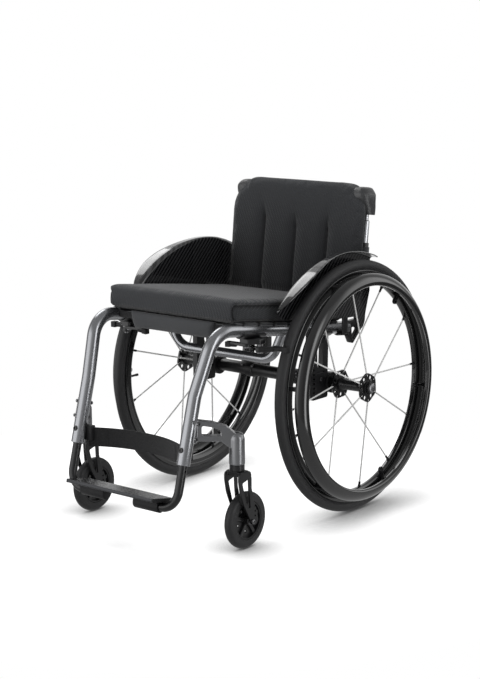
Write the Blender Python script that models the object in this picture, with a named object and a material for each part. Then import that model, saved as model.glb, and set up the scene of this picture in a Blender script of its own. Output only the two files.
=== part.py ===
# Active wheelchair with rigid frame, built as separate pieces in one frame.
# Metres. +X is the occupant's left, the front is -Y, +Z is up.
# Lengths are written in the axle frame, whose origin lies on the ground
# under the rear axle; one parent empty moves all of it to the part's origin.

import math

import bmesh
import bpy
from mathutils import Matrix, Vector

for old in list(bpy.data.objects):
    bpy.data.objects.remove(old, do_unlink=True)

# Driving dimensions: rear wheels
WHEEL_RADIUS = 0.2950
TYRE_WIDTH = 0.0250
CAMBER = math.radians(1.0)
RIM_OUTER = WHEEL_RADIUS - TYRE_WIDTH
RIM_INNER = RIM_OUTER - 0.0250
RIM_HALF_WIDTH = 0.0118
FLANGE_OUT = 0.0349
FLANGE_IN = -0.0428
FLANGE_RADIUS = 0.0345
SPOKE_CIRCLE = 0.0300
SPOKE_RADIUS = 0.0012
NIPPLE_RADIUS = 0.0021
SPOKES_PER_FLANGE = 6
HANDRIM_RADIUS = RIM_OUTER - 0.0180
HANDRIM_OFFSET = 0.0370
HANDRIM_LONG = 0.0330
HANDRIM_SHORT = 0.0190
AXLE_PIN_RADIUS = 0.0063
BUTTON_RADIUS = 0.0112
BUTTON_TRAVEL = 0.0045

# Driving dimensions: frame
TUBE_RADIUS = 0.0150
SEAT_HALF = 0.1770
TRACK_HALF = SEAT_HALF + 0.0671
LEG_HALF = 0.1590
SEAT_Z = 0.4255
SEAT_SLOPE = -0.131
SEAT_REAR_Y = 0.0560
FRONT_Y = -WHEEL_RADIUS - 0.1280
TOP_CORNER_Y = FRONT_Y
TOP_BEND = 0.0620
KNEE = (FRONT_Y - 0.0475, 0.3450)
LEG_END = (FRONT_Y - 0.0880, 0.2000)
CROSS_RADIUS = 0.0110
CROSS_Y = -0.1800
CROSS_Z = 0.3735
AXLE_TUBE_RADIUS = 0.0150
AXLE_END_RADIUS = 0.0125
COLLAR_RADIUS = AXLE_TUBE_RADIUS + 0.0035

# Driving dimensions: casters
CASTER_RADIUS = 0.0635
CASTER_WIDTH = 0.0220
CASTER_BAND = 0.0430
BARREL = (SEAT_HALF + 0.0533, FRONT_Y + 0.0070)
BARREL_RADIUS = 0.0174
TRAIL = 0.0253
STEM_RADIUS = 0.0060
BLADE_IN = 0.0172
BLADE_THICK = 0.0048

# Driving dimensions: back
CANE_FOOT = (0.1030, 0.4200)
CANE_LEAN = 0.1325
CANE_RADIUS = 0.0110
BACK_TUBE_RADIUS = 0.0085
BACK_ROD_RADIUS = 0.0055
PIVOT_Z = 0.4780
BACK_HALF = SEAT_HALF + 0.0230
BACK_TOP_Z = 0.7520
CANE_TOP_Z = PIVOT_Z + 0.4890 * (BACK_TOP_Z - PIVOT_Z)
ROD_TOP_Z = BACK_TOP_Z - 0.0270
BACK_BOTTOM_Z = 0.4740

# Driving dimensions: footrest, cushion, guard, brakes
FOOT_TUBE_RADIUS = 0.0098
FOOT_AXIS_Z = 0.1060
PLATE_HALF = LEG_HALF - 0.0320
PLATE_DEPTH = 0.0725
PLATE_THICK = 0.0080
PLATE_TILT = math.radians(11.2)
PLATE_RAISE = 0.0130
CUSHION_HALF = SEAT_HALF + 0.0200
CUSHION_FRONT = FRONT_Y + 0.0480
CUSHION_REAR = 0.0450
CUSHION_TOP = 0.0660
GUARD_X = SEAT_HALF + 0.0325
GUARD_THICK = 0.0025

# Clearances
GAP = 0.0003
SLING_THICK = 0.0020
SLING_LIFT = 0.0080

# Facets around a full turn
WHEEL_FACETS = 40
TUBE_FACETS = 14
ROD_FACETS = 12
CASTER_FACETS = 22

SEAT_DIR = Vector((0.0, 1.0, SEAT_SLOPE)).normalized()
LEG_DIR = Vector((0.0, KNEE[0] - LEG_END[0], KNEE[1] - LEG_END[1])).normalized()
FOOT_AXIS_Y = LEG_END[0] + (FOOT_AXIS_Z - LEG_END[1]) * LEG_DIR.y / LEG_DIR.z
CANE_DIR = Vector((0.0, CANE_LEAN, 1.0)).normalized()
CANE_FRONT = Vector((0.0, -CANE_DIR.z, CANE_DIR.y))
TYRE_SECTION = TYRE_WIDTH / 2
AXLE_Z = (WHEEL_RADIUS - TYRE_SECTION) * math.cos(CAMBER) + TYRE_SECTION
PLATE_FRONT = Vector((0.0, -math.cos(PLATE_TILT), math.sin(PLATE_TILT)))
PLATE_UP = Vector((0.0, math.sin(PLATE_TILT), math.cos(PLATE_TILT)))
PLATE_AHEAD = 0.0450
PLATE_EDGE = 0.0015
FRONT_LIFT = PLATE_RAISE + PLATE_EDGE
FRONT_REACH = -(FOOT_AXIS_Y + PLATE_AHEAD * PLATE_FRONT.y + FRONT_LIFT * PLATE_UP.y)
AXLE_Y = (FRONT_REACH - WHEEL_RADIUS) / 2

ROOT = bpy.data.objects.new("axle_frame", None)
bpy.context.collection.objects.link(ROOT)
ROOT.location = (0.0, AXLE_Y, 0.0)


def seat_z(y):
    """Height of the seat tube's centre line at y."""
    return SEAT_Z + SEAT_SLOPE * y


def cane_point(z, front=0.0):
    """Point of the cane line at height z, moved toward the front."""
    p = Vector((0.0, CANE_FOOT[0] + CANE_LEAN * (z - CANE_FOOT[1]), z))
    return p + CANE_FRONT * front


def material(name, colour, rough=0.5, metal=0.0):
    """One Principled material per object."""
    mat = bpy.data.materials.new(name)
    mat.use_nodes = True
    shader = mat.node_tree.nodes["Principled BSDF"]
    shader.inputs["Base Color"].default_value = (*colour, 1.0)
    shader.inputs["Roughness"].default_value = rough
    shader.inputs["Metallic"].default_value = metal
    mat.diffuse_color = (*colour, 1.0)
    return mat


BLACK = ((0.02, 0.02, 0.022), 0.35, 0.0)
DARK = ((0.05, 0.05, 0.055), 0.45, 0.2)
PAINT = ((0.42, 0.43, 0.45), 0.3, 0.9)
SILVER = ((0.62, 0.63, 0.65), 0.25, 1.0)
CLOTH = ((0.018, 0.018, 0.02), 0.9, 0.0)
RUBBER = ((0.03, 0.03, 0.03), 0.85, 0.0)


def finish_mesh(bm, name, pivot):
    """Turn a bmesh of the axle frame into mesh data about the pivot."""
    bmesh.ops.remove_doubles(bm, verts=bm.verts, dist=1e-6)
    bmesh.ops.recalc_face_normals(bm, faces=bm.faces)
    bmesh.ops.translate(bm, verts=bm.verts, vec=-Vector(pivot))
    mesh = bpy.data.meshes.new(name)
    bm.to_mesh(mesh)
    bm.free()
    return mesh


def solid(name, bm, look, pivot=(0.0, 0.0, 0.0), angle=35.0):
    """A finished piece: closed, shaded smooth, origin at the pivot."""
    mesh = finish_mesh(bm, name, pivot)
    mesh.materials.append(material(name, *look))
    obj = bpy.data.objects.new(name, mesh)
    bpy.context.collection.objects.link(obj)
    obj.parent = ROOT
    obj.location = pivot
    mesh.set_sharp_from_angle(angle=math.radians(angle))
    for face in mesh.polygons:
        face.use_smooth = True
    return obj


def operate(obj, bm, operation, tag):
    """Add one Boolean with its own hidden tool object."""
    name = obj.name + "_" + tag
    mesh = finish_mesh(bm, name, (0.0, 0.0, 0.0))
    tool = bpy.data.objects.new(name, mesh)
    bpy.context.collection.objects.link(tool)
    tool.parent = ROOT
    tool.display_type = "WIRE"
    tool.hide_render = True
    mod = obj.modifiers.new(tag, "BOOLEAN")
    mod.operation = operation
    mod.solver = "EXACT"
    mod.object = tool
    return tool


def cut(obj, bm, tag):
    return operate(obj, bm, "DIFFERENCE", tag)


def join(obj, bm, tag):
    return operate(obj, bm, "UNION", tag)


# Shape makers

def rings_to_bm(rings, closed_path=False, cap_start=True, cap_end=True, bm=None):
    """Skin a list of rings of points; single points become poles."""
    bm = bm or bmesh.new()
    made = [[bm.verts.new(p) for p in ring] for ring in rings]
    pairs = list(zip(made[:-1], made[1:]))
    if closed_path:
        pairs.append((made[-1], made[0]))
    for a, b in pairs:
        n = max(len(a), len(b))
        for i in range(n):
            j = (i + 1) % n
            if len(a) == 1:
                bm.faces.new((a[0], b[j], b[i]))
            elif len(b) == 1:
                bm.faces.new((a[i], a[j], b[0]))
            else:
                bm.faces.new((a[i], a[j], b[j], b[i]))
    if not closed_path:
        if cap_start and len(made[0]) > 2:
            bm.faces.new(made[0])
        if cap_end and len(made[-1]) > 2:
            bm.faces.new(made[-1])
    return bm


def revolve(profile, origin, axis, seg, ring=False, bm=None):
    """Revolve (along, radius) pairs about an axis through the origin."""
    axis = Vector(axis).normalized()
    side = axis.orthogonal().normalized()
    if abs(axis.x) > 0.9:
        side = (Vector((0.0, 0.0, 1.0)) - axis * axis.z).normalized()
    other = axis.cross(side)
    origin = Vector(origin)
    rings = []
    for along, radius in profile:
        centre = origin + axis * along
        if radius < 1e-9:
            rings.append([centre])
            continue
        turn = [2 * math.pi * i / seg for i in range(seg)]
        rings.append([centre + (side * math.cos(a) + other * math.sin(a)) * radius for a in turn])
    return rings_to_bm(rings, closed_path=ring, bm=bm)


def rod(p0, p1, radius, seg=16, bm=None):
    """Round bar between two points."""
    p0 = Vector(p0)
    p1 = Vector(p1)
    length = (p1 - p0).length
    return revolve([(0.0, radius), (length, radius)], p0, p1 - p0, seg, bm=bm)


def hole(p0, p1, radius, seg=16, bm=None):
    """Cutter for a bore that clears a round piece of this radius."""
    return rod(p0, p1, (radius + GAP) / math.cos(math.pi / seg), seg, bm=bm)


def fillet(points, steps=6):
    """Polyline of points (position, bend radius) with rounded corners."""
    path = [Vector(points[0][0])]
    for k in range(1, len(points) - 1):
        a = Vector(points[k - 1][0])
        b = Vector(points[k][0])
        c = Vector(points[k + 1][0])
        r = points[k][1]
        u = (a - b).normalized()
        v = (c - b).normalized()
        half = u.angle(v) / 2
        reach = r / math.tan(half)
        centre = b + (u + v).normalized() * (r / math.sin(half))
        start = b + u * reach - centre
        end = b + v * reach - centre
        total = start.angle(end)
        for i in range(steps + 1):
            t = i / steps
            w0 = math.sin((1 - t) * total) / math.sin(total)
            w1 = math.sin(t * total) / math.sin(total)
            path.append(centre + start * w0 + end * w1)
    path.append(Vector(points[-1][0]))
    return path


def sweep(path, section, up=(1.0, 0.0, 0.0)):
    """Carry a flat section of (side, up) pairs along a path."""
    rings = []
    normal = Vector(up)
    for k, p in enumerate(path):
        before = path[max(k - 1, 0)]
        after = path[min(k + 1, len(path) - 1)]
        tangent = (after - before).normalized()
        if 0 < k < len(path) - 1:
            t0 = (p - before).normalized()
            t1 = (after - p).normalized()
            tangent = (t0 + t1).normalized()
        normal = (normal - tangent * normal.dot(tangent)).normalized()
        side = tangent.cross(normal)
        rings.append([p + side * s + normal * h for s, h in section])
    return rings_to_bm(rings)


def circle(radius, seg, tall=None):
    tall = tall or radius
    turn = [2 * math.pi * i / seg for i in range(seg)]
    return [(radius * math.cos(a), tall * math.sin(a)) for a in turn]


def prism(outline, x0, x1, mapping=None, bm=None):
    """Extrude a (y, z) outline from x0 to x1, or through a mapping."""
    place = mapping or (lambda x, a, b: Vector((x, a, b)))
    rings = [[place(x, a, b) for a, b in outline] for x in (x0, x1)]
    return rings_to_bm(rings, bm=bm)


def box(x0, x1, y0, y1, z0, z1, bm=None):
    return prism([(y0, z0), (y1, z0), (y1, z1), (y0, z1)], x0, x1, bm=bm)


def rounded(outline, radius, steps=3):
    """Round the corners of a flat outline."""
    out = []
    n = len(outline)
    for k in range(n):
        a = Vector(outline[k - 1]).to_3d()
        b = Vector(outline[k]).to_3d()
        c = Vector(outline[(k + 1) % n]).to_3d()
        u = (a - b).normalized()
        v = (c - b).normalized()
        half = u.angle(v) / 2
        reach = min(radius / math.tan(half), 0.45 * (a - b).length, 0.45 * (c - b).length)
        for i in range(steps + 1):
            t = i / steps
            p = (b + u * reach) * (1 - t) ** 2 + b * 2 * t * (1 - t) + (b + v * reach) * t ** 2
            out.append((p.x, p.y))
    return out


def arc(cx, cy, radius, start, end, steps):
    """Points of a flat arc, angles in degrees."""
    out = []
    for i in range(steps + 1):
        a = math.radians(start + (end - start) * i / steps)
        out.append((cx + radius * math.cos(a), cy + radius * math.sin(a)))
    return out


def along_tube(x_centre):
    """Mapping for sections across the seat tube: u sideways, v up, s along y."""
    up = Vector((0.0, -SEAT_DIR.z, SEAT_DIR.y))

    def place(s, u, v):
        base = Vector((x_centre + u, s, seat_z(s)))
        return base + up * v

    return place


# Side frame tube

def side_frame(name, side):
    x_seat = side * SEAT_HALF
    x_leg = side * LEG_HALF
    points = [
        ((x_seat, SEAT_REAR_Y, seat_z(SEAT_REAR_Y)), 0.0),
        ((x_seat, TOP_CORNER_Y, seat_z(TOP_CORNER_Y)), TOP_BEND),
        ((x_leg, KNEE[0], KNEE[1]), 0.1000),
        ((x_leg, LEG_END[0], LEG_END[1]), 0.0),
    ]
    obj = solid(name, sweep(fillet(points, 5), circle(TUBE_RADIUS, TUBE_FACETS)), PAINT)
    end = Vector((x_leg, LEG_END[0], LEG_END[1]))
    bore = hole(end - LEG_DIR * 0.01, end + LEG_DIR * 0.1330, FOOT_TUBE_RADIUS, ROD_FACETS)
    cut(obj, bore, "leg_bore")
    return obj


# Cross tube

def cross_tube():
    half = [(SEAT_HALF - 0.0370, CROSS_Z), (SEAT_HALF - 0.0005, seat_z(CROSS_Y) + 0.0029)]
    points = [
        ((-half[1][0], CROSS_Y, half[1][1]), 0.0),
        ((-half[0][0], CROSS_Y, half[0][1]), 0.0450),
        ((half[0][0], CROSS_Y, half[0][1]), 0.0450),
        ((half[1][0], CROSS_Y, half[1][1]), 0.0),
    ]
    bm = sweep(fillet(points, 4), circle(CROSS_RADIUS, ROD_FACETS), up=(0.0, 1.0, 0.0))
    obj = solid("cross_tube", bm, PAINT)
    saddle = bmesh.new()
    for side in (-1, 1):
        p0 = Vector((side * SEAT_HALF, CROSS_Y - 0.03, seat_z(CROSS_Y - 0.03)))
        p1 = Vector((side * SEAT_HALF, CROSS_Y + 0.03, seat_z(CROSS_Y + 0.03)))
        hole(p0, p1, TUBE_RADIUS, TUBE_FACETS, bm=saddle)
    cut(obj, saddle, "mitre")
    return obj


# Axle tube with collars and camber bores

def wheel_axis(side):
    return Vector((side * math.cos(CAMBER), 0.0, math.sin(CAMBER)))


def wheel_centre(side):
    return Vector((side * TRACK_HALF, 0.0, AXLE_Z))


def axle_tube():
    half = [
        (SEAT_HALF + 0.0133, AXLE_END_RADIUS), (SEAT_HALF - 0.0170, AXLE_END_RADIUS),
        (SEAT_HALF - 0.0170, AXLE_TUBE_RADIUS), (SEAT_HALF - 0.1000, AXLE_TUBE_RADIUS),
        (SEAT_HALF - 0.1000, COLLAR_RADIUS), (SEAT_HALF - 0.1210, COLLAR_RADIUS),
        (SEAT_HALF - 0.1210, AXLE_TUBE_RADIUS),
    ]
    profile = [(-x, r) for x, r in half] + [(x, r) for x, r in reversed(half)]
    bm = revolve(profile, (0.0, 0.0, AXLE_Z), (1.0, 0.0, 0.0), TUBE_FACETS)
    obj = solid("axle_tube", bm, BLACK)
    for side, tag in ((1, "left_bore"), (-1, "right_bore")):
        c = wheel_centre(side)
        n = wheel_axis(side)
        bore = hole(c - n * 0.1250, c - n * 0.0400, AXLE_PIN_RADIUS, 12)
        cut(obj, bore, tag)
    return obj


# Axle bracket: plate, clamp ring and saddle

def axle_bracket(name, side):
    top = seat_z(-0.05) - TUBE_RADIUS
    low = AXLE_Z - 0.0310
    outline = [
        (-0.0880, top + 0.004), (-0.0880, low + 0.0140), (-0.0780, low), (-0.0200, low),
        (-0.0200, low + 0.0460), (-0.0170, top - 0.004),
    ]
    x0 = side * (SEAT_HALF - 0.0105)
    x1 = side * (SEAT_HALF + 0.0025)
    obj = solid(name, prism(rounded(outline, 0.006, 1), x0, x1), BLACK)
    ring = rod((side * (SEAT_HALF - 0.0120), 0.0, AXLE_Z), (side * (SEAT_HALF + 0.0040), 0.0, AXLE_Z),
               AXLE_END_RADIUS * 2, 20)
    join(obj, ring, "ring")
    centre = side * SEAT_HALF
    outer = arc(0.0, 0.0, 0.0190, -150, -30, 6)
    inner = arc(0.0, 0.0, 0.0130, -30, -150, 2)
    bm = prism(outer + inner, -0.0880, -0.0170, along_tube(centre))
    join(obj, bm, "saddle")
    seat = hole((centre, -0.12, seat_z(-0.12)), (centre, 0.02, seat_z(0.02)), TUBE_RADIUS, TUBE_FACETS)
    cut(obj, seat, "tube_seat")
    near = side * (SEAT_HALF - 0.0300)
    far = side * (SEAT_HALF + 0.0300)
    bore = hole((near, 0.0, AXLE_Z), (far, 0.0, AXLE_Z), AXLE_END_RADIUS, TUBE_FACETS)
    cut(obj, bore, "axle_bore")
    holes = bmesh.new()
    for k in range(6):
        z = low + 0.0180 + 0.0107 * k
        rod((near, -0.0730, z), (far, -0.0730, z), 0.0032, 6, bm=holes)
    cut(obj, holes, "hole_row")
    foot = AXLE_Z + 0.0450
    slot = rounded([(-0.0600, foot), (-0.0400, foot), (-0.0370, top - 0.0220), (-0.0600, top - 0.0220)],
                   0.005, 1)
    slot = prism(slot, near, far)
    cut(obj, slot, "window")
    return obj


# Caster arm with leg clamp and barrel

def caster_arm(name, side):
    leg = Vector((LEG_HALF, LEG_END[0] + (0.2700 - LEG_END[1]) * LEG_DIR.y / LEG_DIR.z, 0.2700))
    barrel = Vector((BARREL[0], BARREL[1], 0.0))
    run = Vector((barrel.x - leg.x, barrel.y - leg.y, 0.0))
    along = run.normalized()
    across = Vector((-along.y, along.x, 0.0))

    def place(t, s, z):
        p = Vector((leg.x, leg.y, 0.0)) + along * s + across * t + Vector((0, 0, z))
        return Vector((p.x * side, p.y, p.z))

    end = run.length
    outline = [
        (0.0050, 0.2970), (0.0120, 0.2970), (0.0500, 0.2915), (0.0800, 0.2820), (end, 0.2630),
        (end, 0.2300), (0.0850, 0.2350), (0.0700, 0.2480), (0.0120, 0.2510), (0.0050, 0.2510),
    ]
    obj = solid(name, prism(outline, -0.0110, 0.0110, place), SILVER)
    foot = Vector((side * leg.x, leg.y, leg.z))
    way = Vector((along.x * side, along.y, 0.0))
    outward = (way - LEG_DIR * way.dot(LEG_DIR)).normalized()
    beside = LEG_DIR.cross(outward)

    def round_leg(up, u, v):
        return foot + LEG_DIR * up + outward * u + beside * v

    shell = arc(0.0, 0.0, 0.0220, -82, 82, 7) + arc(0.0, 0.0, 0.0110, 82, -82, 2)
    join(obj, prism(shell, -0.0215, 0.0285, round_leg), "clamp")
    base = Vector((side * barrel.x, barrel.y, 0.0))
    dome = [(0.1950, 0.0), (0.1950, BARREL_RADIUS), (0.2520, BARREL_RADIUS), (0.2610, 0.0140),
            (0.2660, 0.0080), (0.2674, 0.0)]
    join(obj, revolve(dome, base, (0, 0, 1), TUBE_FACETS), "barrel")
    bore = hole(foot - LEG_DIR * 0.06, foot + LEG_DIR * 0.06, TUBE_RADIUS, TUBE_FACETS)
    cut(obj, bore, "leg_bore")
    hollow = rod(base + Vector((0, 0, 0.18)), base + Vector((0, 0, 0.2500)), 0.0128, TUBE_FACETS)
    cut(obj, hollow, "barrel_bore")
    window = rounded([(0.0270, 0.2620), (0.0270, 0.2850), (0.0480, 0.2810), (0.0680, 0.2730),
                      (0.0720, 0.2600)], 0.005, 1)
    cut(obj, prism(window, -0.03, 0.03, place), "window")
    return obj


# Seat sling over both tubes, with the front flap

def seat_sling():
    r0 = TUBE_RADIUS + GAP
    r1 = r0 + SLING_THICK
    c = SEAT_HALF
    middle = SLING_LIFT
    right_out = arc(-c, 0.0, r1, 172, 20, 7)
    left_out = arc(c, 0.0, r1, 160, 8, 7)
    left_in = arc(c, 0.0, r0 + GAP, 8, 160, 7)
    right_in = arc(-c, 0.0, r0 + GAP, 20, 172, 7)
    flat = c - 0.0370
    top = [(-flat, middle + SLING_THICK), (flat, middle + SLING_THICK)]
    under = [(flat, middle), (-flat, middle)]
    outline = right_out + top + left_out + left_in + under + right_in
    place = along_tube(0.0)
    obj = solid("seat_sling", prism(outline, FRONT_Y + 0.0630, 0.0100, place), CLOTH)
    high = middle + SLING_THICK
    near = FRONT_Y + 0.0610
    far = FRONT_Y + 0.0690
    flap = [(-0.0160, near), (high, near), (high, far), (-0.0160, far)]

    def flap_place(x, v, s):
        return place(s, x, v)

    join(obj, prism(flap, 0.0545 - c, c - 0.0545, flap_place), "flap")
    return obj


# Cushions as deformed grids

def grid_box(nu, nv, nw):
    """Surface points of a gridded box, each with u, v, w from -1 to 1."""
    bm = bmesh.new()
    cache = {}

    def vert(i, j, k):
        key = (i, j, k)
        if key not in cache:
            cache[key] = bm.verts.new((2 * i / nu - 1, 2 * j / nv - 1, 2 * k / nw - 1))
        return cache[key]

    for k in (0, nw):
        for i in range(nu):
            for j in range(nv):
                bm.faces.new((vert(i, j, k), vert(i + 1, j, k), vert(i + 1, j + 1, k),
                              vert(i, j + 1, k)))
    for j in (0, nv):
        for i in range(nu):
            for k in range(nw):
                bm.faces.new((vert(i, j, k), vert(i + 1, j, k), vert(i + 1, j, k + 1),
                              vert(i, j, k + 1)))
    for i in (0, nu):
        for j in range(nv):
            for k in range(nw):
                bm.faces.new((vert(i, j, k), vert(i, j + 1, k), vert(i, j + 1, k + 1),
                              vert(i, j, k + 1)))
    return bm


def squared(u, v, power):
    """Pull the corners of the square in, for a rounded plan."""
    norm = (abs(u) ** power + abs(v) ** power) ** (1.0 / power)
    if norm < 1e-9:
        return u, v
    k = max(abs(u), abs(v)) / norm
    return u * k, v * k


def ease(t):
    """Spread grid lines toward the edges."""
    return math.sin(t * math.pi / 2) * 0.55 + t * 0.45


def seat_cushion():
    bm = grid_box(12, 11, 2)
    y_mid = (CUSHION_FRONT + CUSHION_REAR) / 2
    half_y = (CUSHION_REAR - CUSHION_FRONT) / 2
    bottom = TUBE_RADIUS + SLING_THICK + 2 * GAP
    up = Vector((0.0, -SEAT_DIR.z, SEAT_DIR.y))
    for v in bm.verts:
        a, b, c = v.co
        a, b = squared(ease(a), ease(b), 9.0)
        edge = max(abs(a), abs(b))
        top = CUSHION_TOP + 0.0060 * (1 - a * a) * (1 - b * b) - 0.0110 * edge ** 14
        low = bottom + 0.0120 * edge ** 14
        if edge < 0.80:
            low = SLING_LIFT + SLING_THICK + GAP
        height = low + (top - low) * (c + 1) / 2
        bulge = 1.0 - 0.010 * (1 - (a * b) ** 2) * (1 - c * c) * edge ** 8
        if abs(c) > 0.99:
            bulge = 1.0 - 0.012 * edge ** 14
        x = CUSHION_HALF * a * bulge
        y = y_mid + half_y * b * bulge
        p = Vector((x, y, seat_z(y))) + up * height
        v.co = p
    return solid("seat_cushion", bm, CLOTH, angle=80)


def back_cushion():
    half = (0.0, 0.05, 0.12, 0.24, 0.36, 0.43, 0.4825, 0.535, 0.605, 0.725, 0.875, 1.0)
    columns = [-x for x in reversed(half[1:])] + list(half)
    bm = grid_box(len(columns) - 1, 7, 2)
    low = cane_point(BACK_BOTTOM_Z)
    length = (BACK_TOP_Z - BACK_BOTTOM_Z) / CANE_DIR.z
    rear = CANE_RADIUS + SLING_THICK + 2 * GAP
    channels = (-half[6] * BACK_HALF, 0.0, half[6] * BACK_HALF)
    for v in bm.verts:
        a, b, c = v.co
        a = columns[round((a + 1) / 2 * (len(columns) - 1))]
        a, b = squared(a, ease(b), 7.0)
        edge = max(abs(a), abs(b))
        x = BACK_HALF * a
        crown = 0.0060 * max(b, 0.0) * (1 - a * a)
        groove = 0.0
        if b < 0.72:
            groove = sum(math.exp(-((x - q) / 0.0085) ** 2) for q in channels)
            groove *= min(1.0, (0.72 - b) / 0.25)
        front = 0.0410 - 0.0095 * groove - 0.0090 * edge ** 12 - 0.0040 * max(b, 0.0) ** 2
        back = rear + 0.0040 * edge ** 12 + 0.0075 * max(0.0, -b - 0.80) / 0.20
        depth = back + (front - back) * (c + 1) / 2
        along = length * (b + 1) / 2 + crown
        p = low + CANE_DIR * along + CANE_FRONT * depth
        v.co = Vector((x, p.y, p.z))
    return solid("back_cushion", bm, CLOTH, pivot=cane_point(PIVOT_Z), angle=80)


# Side guard: lofted panel with flared fender rim. Its front tip lies on a
# circle about the axle, so it follows the wheel

GUARD_REACH = WHEEL_RADIUS + 0.0336
GUARD_TIP = (GUARD_REACH * math.cos(math.radians(141.18)), GUARD_REACH * math.sin(math.radians(141.18)))
GUARD_INNER = WHEEL_RADIUS + 0.0001
GUARD_LIP = (GUARD_INNER * math.cos(math.radians(140.58)), GUARD_INNER * math.sin(math.radians(140.58)))

def side_guard(name, side):
    stations = [
        (GUARD_TIP, 139.5, 0.0340), (GUARD_LIP, 135.0, 0.0340), ((-0.1840, 0.0), 126.0, 0.0315),
        ((-0.1380, 0.0), 117.0, 0.0280), ((-0.0900, 0.0), 108.0, 0.0245),
        ((-0.0400, 0.0), 99.0, 0.0215), ((0.0070, 0.0), 90.0, 0.0195),
        ((0.0500, 0.0270), 81.0, 0.0180), ((0.0680, 0.0014), 77.5, 0.0170),
        ((0.0820, 0.0172), 74.5, 0.0165), ((0.0860, 0.0398), 73.0, 0.0160),
        ((0.1020, 0.0919), 70.0, 0.0150),
    ]
    x0 = GUARD_X
    x1 = GUARD_X + GUARD_THICK
    rings = []
    for (y, z), degrees, clear in stations:
        radius = WHEEL_RADIUS + clear
        if degrees > 130.0:
            z = z + AXLE_Z
        elif z == 0.0:
            z = seat_z(y) + 0.0270
        else:
            z = seat_z(y) + z
        a = math.radians(degrees)
        d = Vector((0.0, math.cos(a), math.sin(a)))
        hub = Vector((0.0, 0.0, AXLE_Z))
        low = Vector((0.0, y, z))

        def at(x, r):
            return hub + d * r + Vector((x, 0.0, 0.0))

        ring = [
            low + Vector((x0, 0, 0)), at(x0, radius - 0.0070), at(x0 + 0.0012, radius - 0.0030),
            at(x0 + 0.0045, radius - 0.0006), at(x0 + 0.0100, radius), at(x0 + 0.0255, radius),
            at(x0 + 0.0255, radius - GUARD_THICK), at(x0 + 0.0100, radius - GUARD_THICK),
            at(x0 + 0.0055, radius - 0.0031), at(x0 + 0.0036, radius - 0.0047),
            at(x1, radius - 0.0080), low + Vector((x1, 0, 0)),
        ]
        rings.append([Vector((p.x * side, p.y, p.z)) for p in ring])
    obj = solid(name, rings_to_bm(rings), DARK)
    feet = bmesh.new()
    for y in (-0.1400, 0.0080):
        z = seat_z(y)
        u0 = side * (SEAT_HALF + TUBE_RADIUS + GAP)
        u1 = side * (GUARD_X - 0.0032)
        u2 = side * (GUARD_X + 0.0010)
        outline = [(u0, z - 0.0120), (u2, z - 0.0120), (u2, z + 0.0580), (u1, z + 0.0580),
                   (u1, z - 0.0020), (u0, z - 0.0020)]

        def place(s, u, w):
            return Vector((u, s, w))

        prism(outline, y - 0.0100, y + 0.0100, place, bm=feet)
    join(obj, feet, "feet")
    return obj


# Calf strap and its mounts, set from the lower end of the leg

STRAP_Y = LEG_END[0] + 0.0198
STRAP_Z = LEG_END[1] + 0.0125

def strap_path():
    pts = []
    for i in range(11):
        t = i / 10 * 2 - 1
        x = (LEG_HALF - 0.0210) * t
        y = STRAP_Y + 0.0392 - 0.0370 * abs(t) ** 2.2
        pts.append(Vector((x, y, STRAP_Z)))
    return pts


def calf_strap():
    section = [(-0.0010, -0.0220), (0.0010, -0.0220), (0.0010, 0.0220), (-0.0010, 0.0220)]
    end = LEG_HALF - 0.0150
    path = [Vector((-end, STRAP_Y, STRAP_Z))] + strap_path() + [Vector((end, STRAP_Y, STRAP_Z))]
    return solid("calf_strap", sweep(path, section, up=(0.0, 0.0, 1.0)), CLOTH)


def strap_mount(name, side):
    inner = LEG_HALF - 0.0290
    outer = LEG_HALF + 0.0030
    front = STRAP_Y - 0.0048
    back = STRAP_Y + 0.0112
    body = rounded([(inner, front), (inner, back), (outer, back), (outer, front)], 0.004, 2)

    def place(z, x, y):
        return Vector((side * x, y, z))

    obj = solid(name, prism(body, STRAP_Z - 0.0075, STRAP_Z + 0.0255, place), BLACK)
    end = Vector((side * LEG_HALF, LEG_END[0], LEG_END[1]))
    cut(obj, hole(end - LEG_DIR * 0.05, end + LEG_DIR * 0.10, TUBE_RADIUS, TUBE_FACETS), "leg_seat")
    path = [p for p in strap_path() if p.x * side > 0.09]
    path = path if side > 0 else list(reversed(path))
    path.append(Vector((side * (LEG_HALF - 0.0150), STRAP_Y, STRAP_Z)))
    path.append(Vector((side * (LEG_HALF - 0.0144), STRAP_Y - 0.0002, STRAP_Z)))
    section = [(-0.0014, -0.0300), (0.0014, -0.0300), (0.0014, 0.0223), (-0.0014, 0.0223)]
    cut(obj, sweep(path, section, up=(0.0, 0.0, 1.0)), "strap_slot")
    return obj


# Back hinge bracket: cradle, plate with loop, post and cheeks

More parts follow.
